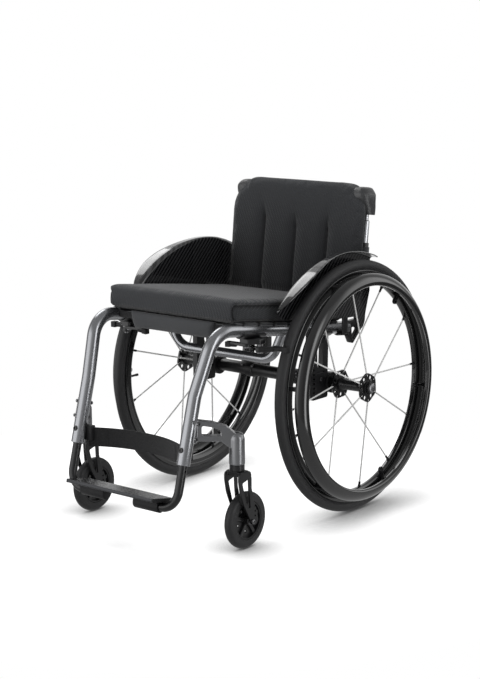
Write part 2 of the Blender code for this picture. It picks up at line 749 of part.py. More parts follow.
def back_bracket(name, side):
    x0 = side * (SEAT_HALF - 0.0065)
    x1 = side * (SEAT_HALF + 0.0065)
    z_rear = seat_z(SEAT_REAR_Y)
    outline = [
        (0.0567, z_rear + 0.0150), (0.0567, z_rear - 0.0185), (0.0680, 0.3800),
        (0.0760, 0.3770), (0.1150, 0.4120), (0.1150, 0.4260), (0.0900, 0.4340),
    ]
    obj = solid(name, prism(outline, x0, x1), BLACK)
    centre = side * SEAT_HALF
    middle = -90 - side * 40
    a0 = middle - 50
    a1 = middle + 50
    outer = arc(0.0, 0.0, 0.0190, a0, a1, 5)
    inner = arc(0.0, 0.0, 0.0120, a1, a0, 2)
    join(obj, prism(outer + inner, 0.0220, 0.0640, along_tube(centre)), "cradle")
    rear = SEAT_REAR_Y + GAP
    seat = hole((centre, 0.0, seat_z(0.0)), (centre, rear, seat_z(rear)), TUBE_RADIUS, TUBE_FACETS)
    cut(obj, seat, "tube_seat")
    loop = rounded([(0.0720, 0.3880), (0.0760, 0.3860), (0.1010, 0.4100), (0.0700, 0.4180)],
                   0.004, 1)
    cut(obj, prism(loop, side * (SEAT_HALF - 0.02), side * (SEAT_HALF + 0.02)), "loop")
    foot = cane_point(0.4200)
    pivot = cane_point(PIVOT_Z)
    shift = Vector((centre, 0.0, 0.0))
    post = rod(foot + shift, pivot - CANE_DIR * 0.0150 + shift, CANE_RADIUS, ROD_FACETS)
    join(obj, post, "post")
    cheek = arc(0.0, 0.0, 0.0090, 0, 180, 6) + [(-0.0090, -0.0200), (0.0090, -0.0200)]
    cheeks = bmesh.new()
    for a, b in ((SEAT_HALF - 0.0095, SEAT_HALF - 0.0047), (SEAT_HALF + 0.0047, SEAT_HALF + 0.0095)):

        def place(x, f, u):
            p = pivot + CANE_FRONT * f + CANE_DIR * u
            return Vector((side * x, p.y, p.z))

        prism(cheek, a, b, place, bm=cheeks)
    join(obj, cheeks, "cheeks")
    half = Vector((0.0080, 0.0, 0.0))
    pin = rod(pivot + shift - half, pivot + shift + half, 0.0040, ROD_FACETS)
    join(obj, pin, "pin")
    return obj


# Back cane with its hinge tongue

def back_cane(name, side):
    pivot = cane_point(PIVOT_Z)
    shift = Vector((side * SEAT_HALF, 0.0, 0.0))
    base = pivot + shift
    top = (CANE_TOP_Z - PIVOT_Z) / CANE_DIR.z
    profile = [(0.0130, 0.0), (0.0130, 0.0095), (0.0145, CANE_RADIUS), (top - 0.0020, CANE_RADIUS),
               (top, 0.0100), (top, 0.0)]
    obj = solid(name, revolve(profile, base, CANE_DIR, ROD_FACETS), BLACK, pivot=pivot)
    tongue = arc(0.0, 0.0, 0.0088, 180, 360, 6) + [(0.0088, 0.0200), (-0.0088, 0.0200)]

    def place(x, f, u):
        p = pivot + CANE_FRONT * f + CANE_DIR * u
        return Vector((side * x, p.y, p.z))

    join(obj, prism(tongue, SEAT_HALF - 0.0043, SEAT_HALF + 0.0043, place), "tongue")
    reach = Vector((0.0200, 0.0, 0.0))
    eye = rod(base - reach, base + reach, 0.0044, ROD_FACETS)
    cut(obj, eye, "eye")
    foot = base + CANE_DIR * (top - 0.0400)
    bore = hole(foot, base + CANE_DIR * (top + 0.01), BACK_TUBE_RADIUS, ROD_FACETS)
    cut(obj, bore, "tube_bore")
    return obj


def back_tube(name, side):
    pivot = cane_point(PIVOT_Z)
    base = Vector((side * SEAT_HALF, 0.0, 0.0))
    low = (CANE_TOP_Z - PIVOT_Z) / CANE_DIR.z - 0.0397
    shoulder = (BACK_TOP_Z - 0.0870 - PIVOT_Z) / CANE_DIR.z
    top = (ROD_TOP_Z - PIVOT_Z) / CANE_DIR.z
    profile = [(low, 0.0), (low, BACK_TUBE_RADIUS), (shoulder - 0.0015, BACK_TUBE_RADIUS),
               (shoulder, 0.0070), (shoulder, BACK_ROD_RADIUS), (top, BACK_ROD_RADIUS), (top, 0.0)]
    return solid(name, revolve(profile, pivot + base, CANE_DIR, ROD_FACETS), SILVER, pivot=pivot)


def back_cap(name, side):
    pivot = cane_point(PIVOT_Z)
    inner = SEAT_HALF - 0.0170
    outer = SEAT_HALF + 0.0295
    middle = (inner + outer) / 2
    outline = rounded([(inner, -0.0105), (outer, -0.0105), (outer, 0.0120), (inner, 0.0120)], 0.006, 1)
    rings = []
    for drop, k in ((0.0720, 0.90), (0.0680, 1.0), (0.0120, 1.0), (0.0070, 0.90)):
        p = cane_point(BACK_TOP_Z - drop)
        ring = []
        for x, f in outline:
            x = middle + (x - middle) * k
            q = p - CANE_FRONT * f * k
            ring.append(Vector((side * x, q.y, q.z)))
        rings.append(ring)
    obj = solid(name, rings_to_bm(rings), BLACK, pivot=pivot)
    shift = Vector((side * SEAT_HALF, 0.0, 0.0))
    foot = cane_point(BACK_TOP_Z - 0.0920) + shift
    bore = hole(foot, cane_point(ROD_TOP_Z + GAP) + shift, BACK_ROD_RADIUS, 12)
    cut(obj, bore, "rod_bore")
    return obj


def back_sling():
    r0 = CANE_RADIUS + GAP
    r1 = r0 + SLING_THICK
    c = SEAT_HALF
    outline = (arc(-c, 0.0, r1, 260, 100, 8) + arc(c, 0.0, r1, 80, -80, 8)
               + arc(c, 0.0, r0, -80, 80, 8) + arc(-c, 0.0, r0, 100, 260, 8))
    pivot = cane_point(PIVOT_Z)

    def place(z, x, f):
        p = cane_point(z) + CANE_FRONT * f
        return Vector((x, p.y, p.z))

    low = PIVOT_Z + 0.0300
    bm = prism(outline, low, CANE_TOP_Z - 0.0100, place)
    return solid("back_sling", bm, CLOTH, pivot=pivot)


# Brake clamp, arm and lever, set from the front of the tyre at the shoe's height

SHOE_LIFT = SEAT_Z + 0.0015 - AXLE_Z
TYRE_FRONT = -math.sqrt(WHEEL_RADIUS ** 2 - SHOE_LIFT ** 2)
ARM_PIVOT = Vector((SEAT_HALF + 0.0230, TYRE_FRONT - 0.0362, 0.0))
LEVER_PIVOT = Vector((SEAT_HALF, ARM_PIVOT.y - 0.0150, 0.0))
BRAKE_TOP = seat_z(ARM_PIVOT.y) - 0.0208


def brake_clamp(name, side):
    centre = side * SEAT_HALF
    outer = arc(0.0, 0.0, 0.0190, -160, -20, 6)
    inner = arc(0.0, 0.0, 0.0120, -20, -160, 2)
    ay = ARM_PIVOT.y
    obj = solid(name, prism(outer + inner, ay - 0.0400, ay + 0.0350, along_tube(centre)), BLACK)
    inner = SEAT_HALF - 0.0120
    outer = SEAT_HALF + 0.0340
    plan = rounded([(inner, ay - 0.0280), (SEAT_HALF + 0.0130, ay - 0.0280), (outer, ay - 0.0100),
                    (outer, ay + 0.0120), (inner, ay + 0.0200)], 0.006, 1)

    def place(z, x, y):
        return Vector((side * x, y, z))

    join(obj, prism(plan, BRAKE_TOP - 0.0060, BRAKE_TOP + 0.0060, place), "plate")
    p0 = (centre, ay - 0.06, seat_z(ay - 0.06))
    p1 = (centre, ay + 0.06, seat_z(ay + 0.06))
    tube = hole(p0, p1, TUBE_RADIUS, TUBE_FACETS)
    cut(obj, tube, "tube_seat")
    pins = bmesh.new()
    for p, low in ((ARM_PIVOT, BRAKE_TOP - 0.0265), (LEVER_PIVOT, BRAKE_TOP - 0.0200)):
        q = Vector((side * p.x, p.y, 0.0))
        rod(q + Vector((0, 0, low)), q + Vector((0, 0, BRAKE_TOP)), 0.0030, 10, bm=pins)
    join(obj, pins, "pins")
    return obj


def brake_arm(name, side):
    bar_z = BRAKE_TOP - 0.0170
    pivot = Vector((side * ARM_PIVOT.x, ARM_PIVOT.y, bar_z))
    z0 = BRAKE_TOP - 0.0250
    z1 = BRAKE_TOP - 0.0137
    ax = ARM_PIVOT.x
    ay = ARM_PIVOT.y
    plan = arc(ax, ay, 0.0085, 110, 330, 5)
    plan += [(ax + 0.0260, ay + 0.0165), (ax + 0.0300, ay + 0.0230), (ax + 0.0240, ay + 0.0265)]

    def place(z, x, y):
        return Vector((side * x, y, z))

    obj = solid(name, prism(plan, z0, z1, place), BLACK, pivot=pivot)
    profile = [(0.0, 0.0), (0.0, 0.0050), (0.0010, 0.0060), (0.0386, 0.0060), (0.0396, 0.0050),
               (0.0396, 0.0)]
    bar = revolve(profile, (side * (ax + 0.0244), ay + 0.0220, bar_z), (side, 0, 0), 12)
    join(obj, bar, "shoe")
    reach = Vector((0, 0, 0.0200))
    bore = rod(pivot - reach, pivot + reach, 0.0034, 10)
    cut(obj, bore, "pin_hole")
    return obj


def brake_lever(name, side):
    pivot = Vector((side * LEVER_PIVOT.x, LEVER_PIVOT.y, BRAKE_TOP - 0.0100))
    z0 = BRAKE_TOP - 0.0132
    z1 = BRAKE_TOP - 0.0068
    lx = LEVER_PIVOT.x
    ly = LEVER_PIVOT.y
    plan = arc(lx, ly, 0.0085, -90, 90, 5)
    plan += [(lx - 0.0260, ly + 0.0060), (lx - 0.0520, ly + 0.0050), (lx - 0.0580, ly),
             (lx - 0.0520, ly - 0.0050), (lx - 0.0260, ly - 0.0060)]

    def place(z, x, y):
        return Vector((side * x, y, z))

    obj = solid(name, prism(plan, z0, z1, place), BLACK, pivot=pivot)
    near = side * (lx - 0.0300)
    far = side * (lx - 0.0560)
    grip = rod((near, ly, BRAKE_TOP - 0.0120), (far, ly, BRAKE_TOP - 0.0140), 0.0062, 10)
    join(obj, grip, "grip")
    reach = Vector((0, 0, 0.0150))
    bore = rod(pivot - reach, pivot + reach, 0.0034, 10)
    cut(obj, bore, "pin_hole")
    return obj


# Footrest tubes, clamps and plate

def footrest_tube(name, side):
    end = Vector((side * LEG_HALF, LEG_END[0], LEG_END[1]))
    top = end + LEG_DIR * 0.0950
    corner = Vector((side * LEG_HALF, FOOT_AXIS_Y, FOOT_AXIS_Z))
    inner = Vector((side * (LEG_HALF - 0.0990), FOOT_AXIS_Y, FOOT_AXIS_Z))
    path = fillet([(top, 0.0), (corner, 0.0400), (inner, 0.0)], 5)
    tube = sweep(path, circle(FOOT_TUBE_RADIUS, ROD_FACETS), up=(0.0, 1.0, 0.0))
    obj = solid(name, tube, BLACK, pivot=end)
    holes = bmesh.new()
    for k in range(2):
        p = end - LEG_DIR * (0.0120 + 0.0160 * k)
        rod(p - Vector((0.03, 0, 0)), p + Vector((0.03, 0, 0)), 0.0025, 6, bm=holes)
    cut(obj, holes, "holes")
    return obj


def plate_point(x, ahead, raise_):
    base = Vector((x, FOOT_AXIS_Y, FOOT_AXIS_Z))
    return base + PLATE_FRONT * ahead + PLATE_UP * raise_


def footplate_clamp(name, side):
    top = PLATE_RAISE - GAP
    ring = arc(0.0, 0.0, 0.0135, 0, -180, 8)
    outline = ring + [(-0.0220, top - 0.0035), (-0.0220, top), (0.0220, top), (0.0220, top - 0.0035)]

    def place(x, a, b):
        return plate_point(side * x, a, b)

    pivot = Vector((0.0, FOOT_AXIS_Y, FOOT_AXIS_Z))
    inner = LEG_HALF - 0.1140
    outer = LEG_HALF - 0.0425
    obj = solid(name, prism(outline, inner, outer, place), BLACK, pivot=pivot)
    p0 = (side * (inner + 0.0050), FOOT_AXIS_Y, FOOT_AXIS_Z)
    p1 = (side * (outer + 0.0135), FOOT_AXIS_Y, FOOT_AXIS_Z)
    bore = hole(p0, p1, FOOT_TUBE_RADIUS, TUBE_FACETS)
    cut(obj, bore, "tube_bore")
    return obj


def footplate():
    back = PLATE_AHEAD - PLATE_DEPTH
    ribs = 9
    pitch = PLATE_DEPTH / ribs
    top = PLATE_RAISE + PLATE_THICK
    outline = [(back, FRONT_LIFT), (back + PLATE_EDGE, PLATE_RAISE),
               (PLATE_AHEAD - PLATE_EDGE, PLATE_RAISE), (PLATE_AHEAD, FRONT_LIFT)]
    ridge = [(PLATE_AHEAD, top - 0.0010)]
    for k in range(ribs):
        a = PLATE_AHEAD - k * pitch
        ridge += [(a - 0.0007, top), (a - pitch * 0.62, top)]
        if k < ribs - 1:
            ridge += [(a - pitch * 0.68, top - 0.0016), (a - pitch * 0.94, top - 0.0016)]
    ridge += [(back, top - 0.0010)]

    def place(x, a, b):
        return plate_point(x, a, b)

    pivot = Vector((0.0, FOOT_AXIS_Y, FOOT_AXIS_Z))
    return solid("footplate", prism(outline + ridge, -PLATE_HALF, PLATE_HALF, place), DARK, pivot=pivot)


# Casters

def caster_sleeve(name, side):
    base = (side * BARREL[0], BARREL[1], 0.0)
    profile = [(0.1818, 0.0066), (0.1818, 0.0165), (0.1947, 0.0165), (0.1947, 0.0125),
               (0.2350, 0.0125), (0.2350, 0.0066)]
    return solid(name, revolve(profile, base, (0, 0, 1), TUBE_FACETS, ring=True), BLACK)


def caster_fork(name, side):
    pivot = Vector((side * BARREL[0], BARREL[1], 0.1000))
    c = side * BARREL[0]
    y0 = BARREL[1]
    rear = [
        (0.0190, 0.1790), (0.0230, 0.1700), (0.0240, 0.1376), (0.0303, 0.1112),
        (0.0404, 0.0862), (0.0454, 0.0623), (0.0390, 0.0545), (0.0300, 0.0530),
        (0.0161, 0.0717), (-0.0007, 0.1006), (-0.0139, 0.1328), (-0.0190, 0.1600),
        (-0.0190, 0.1790),
    ]
    rear = [(y0 + y, z) for y, z in rear]
    a = BLADE_IN
    b = BLADE_IN + BLADE_THICK
    obj = solid(name, prism(rear, c + a, c + b), BLACK, pivot=pivot)
    join(obj, prism(rear, c - b, c - a), "far_blade")
    crown = rounded([(-0.0222, -0.0130), (0.0222, -0.0130), (0.0222, 0.0150), (-0.0222, 0.0150)],
                    0.005, 1)

    def place(z, x, y):
        return Vector((c + x, BARREL[1] + y, z))

    join(obj, prism(crown, 0.1700, 0.1812, place), "crown")
    stem = [(0.1750, 0.0), (0.1750, STEM_RADIUS), (0.2380, STEM_RADIUS), (0.2380, 0.0100),
            (0.2460, 0.0100), (0.2460, 0.0)]
    join(obj, revolve(stem, (c, BARREL[1], 0.0), (0, 0, 1), ROD_FACETS), "stem")
    window = [(0.0140, 0.1620), (-0.0085, 0.1560), (0.0040, 0.1112), (0.0130, 0.0960),
              (0.0190, 0.0960), (0.0150, 0.1376)]
    window = [(y0 + y, z) for y, z in window]
    cut(obj, prism(window, c - 0.04, c + 0.04), "windows")
    holes = bmesh.new()
    for z in (0.0969, 0.0853, 0.0748):
        rod((c - 0.04, y0 + 0.0345, z), (c + 0.04, y0 + 0.0345, z), 0.0022, 6, bm=holes)
    cut(obj, holes, "axle_rows")
    wheel = caster_centre(side)
    x = Vector((0.04, 0.0, 0.0))
    cut(obj, rod(wheel - x, wheel + x, 0.0034, 10), "axle_hole")
    return obj


def caster_centre(side):
    return Vector((side * BARREL[0], BARREL[1] + TRAIL, CASTER_RADIUS))


def caster_bolt(name, side):
    c = caster_centre(side)
    reach = BLADE_IN + BLADE_THICK + GAP
    profile = [(-reach - 0.0040, 0.0), (-reach - 0.0040, 0.0055), (-reach, 0.0055), (-reach, 0.0030),
               (reach, 0.0030), (reach, 0.0055), (reach + 0.0040, 0.0055), (reach + 0.0040, 0.0)]
    return solid(name, revolve(profile, c, (1, 0, 0), 10), SILVER, pivot=c)


def caster_hub(name, side):
    c = caster_centre(side)
    profile = [(-0.0160, 0.0), (-0.0160, 0.0100), (0.0160, 0.0100), (0.0160, 0.0)]
    obj = solid(name, revolve(profile, c, (1, 0, 0), ROD_FACETS), BLACK, pivot=c)
    band = [(-0.0100, CASTER_BAND - 0.0030), (-0.0100, CASTER_BAND), (0.0100, CASTER_BAND),
            (0.0100, CASTER_BAND - 0.0030)]
    arms = bmesh.new()
    for k in range(5):
        a = 2 * math.pi * k / 5
        turn = Matrix.Rotation(a, 4, "X")
        reach = CASTER_BAND - 0.0015
        outline = [(-0.0026, 0.0060), (0.0026, 0.0060), (0.0038, reach), (-0.0038, reach)]

        def place(x, y, z):
            return c + turn @ Vector((x, y, z))

        prism(outline, -0.0075, 0.0075, place, bm=arms)
    join(obj, arms, "arms")
    join(obj, revolve(band, c, (1, 0, 0), 20, ring=True), "band")
    bore = rod(c - Vector((0.03, 0, 0)), c + Vector((0.03, 0, 0)), 0.0034, ROD_FACETS)
    cut(obj, bore, "axle_bore")
    return obj


def caster_tyre(name, side):
    c = caster_centre(side)
    w = CASTER_WIDTH / 2
    r = CASTER_RADIUS
    seat = (CASTER_BAND + GAP) / math.cos(math.pi / CASTER_FACETS)
    profile = [(-w, r - 0.0080), (-w + 0.0022, r - 0.0028), (-w + 0.0070, r - 0.0003), (0.0, r),
               (w - 0.0070, r - 0.0003), (w - 0.0022, r - 0.0028), (w, r - 0.0080), (w, seat),
               (-w, seat)]
    return solid(name, revolve(profile, c, (1, 0, 0), CASTER_FACETS, ring=True), RUBBER, pivot=c)


# Rear wheels, built in wheel coordinates and placed on the cambered axis

def wheel_revolve(profile, side, seg, ring=True, bm=None):
    return revolve(profile, wheel_centre(side), wheel_axis(side), seg, ring=ring, bm=bm)


def wheel_place(side):
    """Mapping from wheel coordinates (out, angle in degrees, radius)."""
    n = wheel_axis(side)
    up = Vector((-side * math.sin(CAMBER), 0.0, math.cos(CAMBER)))
    rear = Vector((0.0, 1.0, 0.0))
    c = wheel_centre(side)

    def place(out, degrees, radius):
        a = math.radians(degrees)
        return c + n * out + (rear * math.cos(a) + up * math.sin(a)) * radius

    return place


def rear_tyre(name, side):
    s = TYRE_SECTION
    r = WHEEL_RADIUS - s
    profile = arc(0.0, r, s, 210, -30, 6)
    profile += [(0.0070, RIM_OUTER + GAP), (-0.0070, RIM_OUTER + GAP)]
    return solid(name, wheel_revolve(profile, side, WHEEL_FACETS), RUBBER, pivot=wheel_centre(side))


def rear_rim(name, side):
    w = RIM_HALF_WIDTH
    profile = [(-w, RIM_OUTER), (w, RIM_OUTER), (w - 0.0012, RIM_INNER + 0.0090),
               (0.0060, RIM_INNER), (-0.0060, RIM_INNER), (-w + 0.0012, RIM_INNER + 0.0090)]
    return solid(name, wheel_revolve(profile, side, WHEEL_FACETS), BLACK, pivot=wheel_centre(side))


def flange_outline(phase):
    """Lobed outline: six lobes on the spoke circle."""
    out = []
    n = 24
    for i in range(n):
        a = 360.0 * i / n
        lobe = math.cos(math.radians(6 * (a - phase)))
        out.append((a, FLANGE_RADIUS - 0.0026 * (1 - lobe) / 2))
    return out


def wheel_hub(name, side):
    place = wheel_place(side)
    profile = [
        (-0.0515, 0.0), (-0.0515, 0.0130), (-0.0380, 0.0150), (-0.0250, 0.0125), (0.0180, 0.0125),
        (0.0300, 0.0165), (0.0405, 0.0165), (0.0405, 0.0),
    ]
    obj = solid(name, wheel_revolve(profile, side, TUBE_FACETS, ring=False), BLACK, pivot=wheel_centre(side))
    for tag, out, phase in (("outer_flange", FLANGE_OUT, 30.0), ("inner_flange", FLANGE_IN, 0.0)):
        rings = []
        for t in (-0.0019, 0.0019):
            rings.append([place(out + t, a, r) for a, r in flange_outline(phase)])
        join(obj, rings_to_bm(rings), tag)
    pockets = bmesh.new()
    for out, phase in ((FLANGE_OUT, 60.0), (FLANGE_IN, 30.0)):
        for k in range(SPOKES_PER_FLANGE):
            a = phase + 60.0 * k
            rod(place(out - 0.004, a, 0.0243), place(out + 0.004, a, 0.0240), 0.0042, 6, bm=pockets)
    cut(obj, pockets, "lightening_holes")
    spokes = bmesh.new()
    n = wheel_axis(side)
    rim_face = RIM_INNER * math.cos(math.pi / WHEEL_FACETS)
    for out, phase in ((FLANGE_OUT, 30.0), (FLANGE_IN, 0.0)):
        for k in range(SPOKES_PER_FLANGE):
            a = phase + 60.0 * k
            foot = place(out, a, SPOKE_CIRCLE)
            tip = place(0.0, a, rim_face - GAP)
            way = (tip - foot).normalized()
            end = (tip - foot).length - abs(way.dot(n)) * NIPPLE_RADIUS
            nip = end - 0.0120
            profile = [(0.0, SPOKE_RADIUS), (nip, SPOKE_RADIUS), (nip, NIPPLE_RADIUS),
                       (end, NIPPLE_RADIUS)]
            revolve(profile, foot, way, 4, bm=spokes)
    join(obj, spokes, "spokes")
    reach = n * 0.06
    bore = hole(wheel_centre(side) - reach, wheel_centre(side) + reach, AXLE_PIN_RADIUS, TUBE_FACETS)
    cut(obj, bore, "axle_bore")
    return obj


def handrim(name, side):
    place = wheel_place(side)
    tilt = math.atan2(0.0280, 0.0200)
    section = []
    for u, v in circle(HANDRIM_LONG / 2, 8, HANDRIM_SHORT / 2):
        out = HANDRIM_OFFSET + u * math.cos(tilt) + v * math.sin(tilt)
        r = HANDRIM_RADIUS - u * math.sin(tilt) + v * math.cos(tilt)
        section.append((out, r))
    obj = solid(name, wheel_revolve(section, side, WHEEL_FACETS), BLACK, pivot=wheel_centre(side), angle=50)
    tabs = bmesh.new()
    for k in range(6):
        a = 48.0 + 60.0 * k
        rings = []
        for out in (RIM_HALF_WIDTH + GAP, 0.0300):
            low = RIM_OUTER - 0.0075
            top = RIM_OUTER - 0.0040
            rings.append([place(out, a - 2.2, low), place(out, a + 2.2, low),
                          place(out, a + 2.2, top), place(out, a - 2.2, top)])
        rings_to_bm(rings, bm=tabs)
    join(obj, tabs, "tabs")
    return obj


def axle_pin(name, side):
    n = wheel_axis(side)
    c = wheel_centre(side)
    head = 0.0405 + GAP
    profile = [(-0.1200, 0.0), (-0.1200, AXLE_PIN_RADIUS), (head, AXLE_PIN_RADIUS), (head, 0.0135),
               (head + 0.0060, 0.0130), (head + 0.0068, BUTTON_RADIUS + GAP),
               (head + 0.0012, BUTTON_RADIUS + GAP), (head + 0.0012, 0.0)]
    return solid(name, revolve(profile, c, n, TUBE_FACETS), SILVER)


def release_button(name, side):
    n = wheel_axis(side)
    c = wheel_centre(side)
    base = 0.0405 + 2 * GAP + 0.0012 + BUTTON_TRAVEL
    r = BUTTON_RADIUS
    profile = [(base, 0.0), (base, r), (base + 0.0024, r), (base + 0.0042, r * 0.75),
               (base + 0.0050, 0.0)]
    return solid(name, revolve(profile, c, n, TUBE_FACETS), SILVER, pivot=c)


# Assembly

def build():
    cross_tube()
    axle_tube()
    seat_sling()
    seat_cushion()
    calf_strap()
    back_cushion()
    back_sling()
    footplate()
    makers = {
        "side_frame": side_frame, "axle_bracket": axle_bracket, "caster_arm": caster_arm,
        "side_guard": side_guard, "strap_mount": strap_mount, "back_bracket": back_bracket,
        "brake_clamp": brake_clamp, "brake_arm": brake_arm, "brake_lever": brake_lever,
        "back_cane": back_cane, "back_tube": back_tube, "back_cap": back_cap,
        "footrest_tube": footrest_tube, "footplate_clamp": footplate_clamp,
        "caster_sleeve": caster_sleeve, "caster_fork": caster_fork, "caster_bolt": caster_bolt,
        "caster_hub": caster_hub, "caster_tyre": caster_tyre, "tyre": rear_tyre, "rim": rear_rim,
        "wheel_hub": wheel_hub, "handrim": handrim, "axle_pin": axle_pin,
        "release_button": release_button,
    }
    for name, make in makers.items():
        make("left_" + name, 1)
        make("right_" + name, -1)


build()
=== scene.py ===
# %% [markdown]
# # An active wheelchair, dressed for a studio picture
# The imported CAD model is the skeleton: it says where each piece is and what it
# turns on. This lesson puts smooth, detailed skins and finishes over it.
# Almost every skin is a surface computed with numpy: a profile turned about an
# axis, a section carried along a path, or a sheet given by two parameters.

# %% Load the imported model
import math

import bmesh
import bpy
import numpy as np
from mathutils import Matrix, Vector


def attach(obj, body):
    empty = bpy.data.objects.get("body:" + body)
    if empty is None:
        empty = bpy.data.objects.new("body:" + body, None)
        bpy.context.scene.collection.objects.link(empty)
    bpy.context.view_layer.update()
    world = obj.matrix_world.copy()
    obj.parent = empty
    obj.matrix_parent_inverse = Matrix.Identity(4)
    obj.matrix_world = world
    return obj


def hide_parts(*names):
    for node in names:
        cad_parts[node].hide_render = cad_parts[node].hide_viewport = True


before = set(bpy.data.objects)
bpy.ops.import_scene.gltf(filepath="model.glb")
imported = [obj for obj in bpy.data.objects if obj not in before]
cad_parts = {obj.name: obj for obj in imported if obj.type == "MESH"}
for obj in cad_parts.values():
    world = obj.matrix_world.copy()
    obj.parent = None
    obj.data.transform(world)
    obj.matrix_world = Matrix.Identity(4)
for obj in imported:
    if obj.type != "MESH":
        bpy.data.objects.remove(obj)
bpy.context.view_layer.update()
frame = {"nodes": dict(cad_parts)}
scene = bpy.context.scene

# %% [markdown]
# The chair is drawn in the axle frame, as its maker would measure it: the
# origin is on the ground under the rear axle. One shift in y brings every
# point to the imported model's frame.

# %% Main sizes, in metres
AXLE_Y = 0.14179088
WHEEL_RADIUS, TYRE_HALF, TRACK_HALF = 0.2950, 0.0125, 0.2441
CAMBER = math.radians(1.0)
AXLE_Z = (WHEEL_RADIUS - TYRE_HALF) * math.cos(CAMBER) + TYRE_HALF
RIM_OUTER, RIM_INNER = 0.2700, 0.2450
SEAT_HALF, LEG_HALF, TUBE_RADIUS = 0.1770, 0.1590, 0.0150
TUBE_BORE = 0.0153
SEAT_Z, SEAT_SLOPE, SEAT_REAR, FRONT_Y = 0.4255, -0.131, 0.0560, -0.4230
LEG_END = np.array([0.0, -0.5110, 0.2000])
LEG_DIR = np.array([0.0, 0.0405, 0.1450]) / math.hypot(0.0405, 0.1450)
CANE_FOOT_Y, CANE_FOOT_Z, CANE_LEAN = 0.1030, 0.4200, 0.1325
CANE_DIR = np.array([0.0, CANE_LEAN, 1.0]) / math.hypot(CANE_LEAN, 1.0)
CANE_FRONT = np.array([0.0, -CANE_DIR[2], CANE_DIR[1]])
SEAT_DIR = np.array([0.0, 1.0, SEAT_SLOPE]) / math.hypot(1.0, SEAT_SLOPE)
SEAT_UP = np.array([0.0, -SEAT_DIR[2], SEAT_DIR[1]])
CASTER_RADIUS, BARREL_X, BARREL_Y, TRAIL = 0.0635, 0.2303, -0.4160, 0.0253
FOOT_Z = 0.1060
FOOT_Y = LEG_END[1] + (FOOT_Z - LEG_END[2]) * LEG_DIR[1] / LEG_DIR[2]
PLATE_TILT = math.radians(11.2)
PLATE_FRONT = np.array([0.0, -math.cos(PLATE_TILT), math.sin(PLATE_TILT)])
PLATE_UP = np.array([0.0, math.sin(PLATE_TILT), math.cos(PLATE_TILT)])
X, Y, Z = np.eye(3)
SIDES = (("left", 1), ("right", -1))


def seat_z(y):
    """Height of the seat tube's centre line at y."""
    return SEAT_Z + SEAT_SLOPE * y


def cane_point(z):
    """Point on the line of the back canes at height z, at x = 0."""
    return np.array([0.0, CANE_FOOT_Y + CANE_LEAN * (z - CANE_FOOT_Z), z])


print("axle height", round(AXLE_Z, 4), "seat height", SEAT_Z)

# %% [markdown]
# ## Surfaces from arrays
# A shape here is a pair: an array of points and a list of arrays of faces.
# Grids of points become quads in one step, and shapes can be stacked, moved
# and turned as arrays before they ever become a mesh.

# %% Grids
def unit(v):
    """A vector, or each row of an array, scaled to length one."""
    v = np.asarray(v, float)
    return v / np.linalg.norm(v, axis=-1, keepdims=True)


def grid(points, loop_u=False, loop_v=True, caps=True):
    """Quads over a grid of points (n, m, 3); caps close the first and last row."""
    n, m = points.shape[:2]
    i, j = np.meshgrid(np.arange(n if loop_u else n - 1), np.arange(m if loop_v else m - 1),
                       indexing="ij")
    i2, j2 = (i + 1) % n, (j + 1) % m
    quads = np.stack([i * m + j, i2 * m + j, i2 * m + j2, i * m + j2], -1).reshape(-1, 4)
    faces = [quads]
    if caps and not loop_u and loop_v:
        faces.append(np.arange(m)[None, ::-1])
        faces.append((np.arange(m) + (n - 1) * m)[None, :])
    return points.reshape(-1, 3), faces


def stack(*shapes):
    """Several shapes as one: points end to end, face numbers shifted along."""
    points = np.concatenate([p for p, f in shapes])
    starts = np.cumsum([0] + [len(p) for p, f in shapes[:-1]])
    faces = [face + start for (p, f), start in zip(shapes, starts) for face in f]
    return points, faces


def aimed(shape, origin, x=X, y=Y, z=Z):
    """A shape moved so that its own axes lie along x, y and z at the origin."""
    return shape[0] @ np.array([x, y, z], float) + np.asarray(origin, float), shape[1]


# %% [markdown]
# Turned parts come from one profile. It is written as distance along the axis
# and radius, and a solid part's profile is led in to the axis at both ends.

# %% Turned shapes
def lathe(profile, seg=48, ring=False):
    """Turn (along, radius) pairs about the x axis: point = (a, r cos t, r sin t)."""
    rows = [tuple(row) for row in profile]
    if not ring:
        rows = ([(rows[0][0], 0.0)] * (rows[0][1] > 0) + rows
                + [(rows[-1][0], 0.0)] * (rows[-1][1] > 0))
    a, r = np.array(rows, float).T
    t = np.linspace(0, 2 * math.pi, seg, endpoint=False)
    points = np.stack([np.repeat(a[:, None], seg, 1), np.outer(r, np.cos(t)),
                       np.outer(r, np.sin(t))], -1)
    return grid(points, loop_u=ring, caps=not ring)


def turned(profile, origin, axis, seg=48, ring=False):
    """A lathed profile whose axis starts at the origin and runs along axis."""
    axis = unit(axis)
    side = unit(np.cross(axis, Y if abs(axis[1]) < 0.9 else Z))
    return aimed(lathe(profile, seg, ring), origin, axis, side, np.cross(axis, side))


def peg(start, end, radius, origin, axis, seg=20):
    """A plain round bar along an axis, for pins and, as a cutter, for bores."""
    return turned([(start, radius), (end, radius)], origin, axis, seg)


def screw_head(start, radius, high, socket, deep, slope=(0.0008, 0.0008)):
    """Profile of a cap screw's head: a cylinder with a sloped rim and a round socket."""
    top = start + high
    return [(start, radius), (top - slope[0], radius), (top, radius - slope[1]), (top, socket),
            (top - deep, socket - 0.0002)]


# %% [markdown]
# Tubes and straps are sections carried along a path, and plates are outlines
# made thick. Corners of either are rounded, because a bent tube or a cut plate
# never has a sharp one.

# %% Sections, paths and plates
def section(radius, seg=32, tall=None):
    """A circle, or an ellipse, as (side, up) pairs."""
    t = np.linspace(0, 2 * math.pi, seg, endpoint=False)
    return np.stack([radius * np.cos(t), (tall or radius) * np.sin(t)], -1)


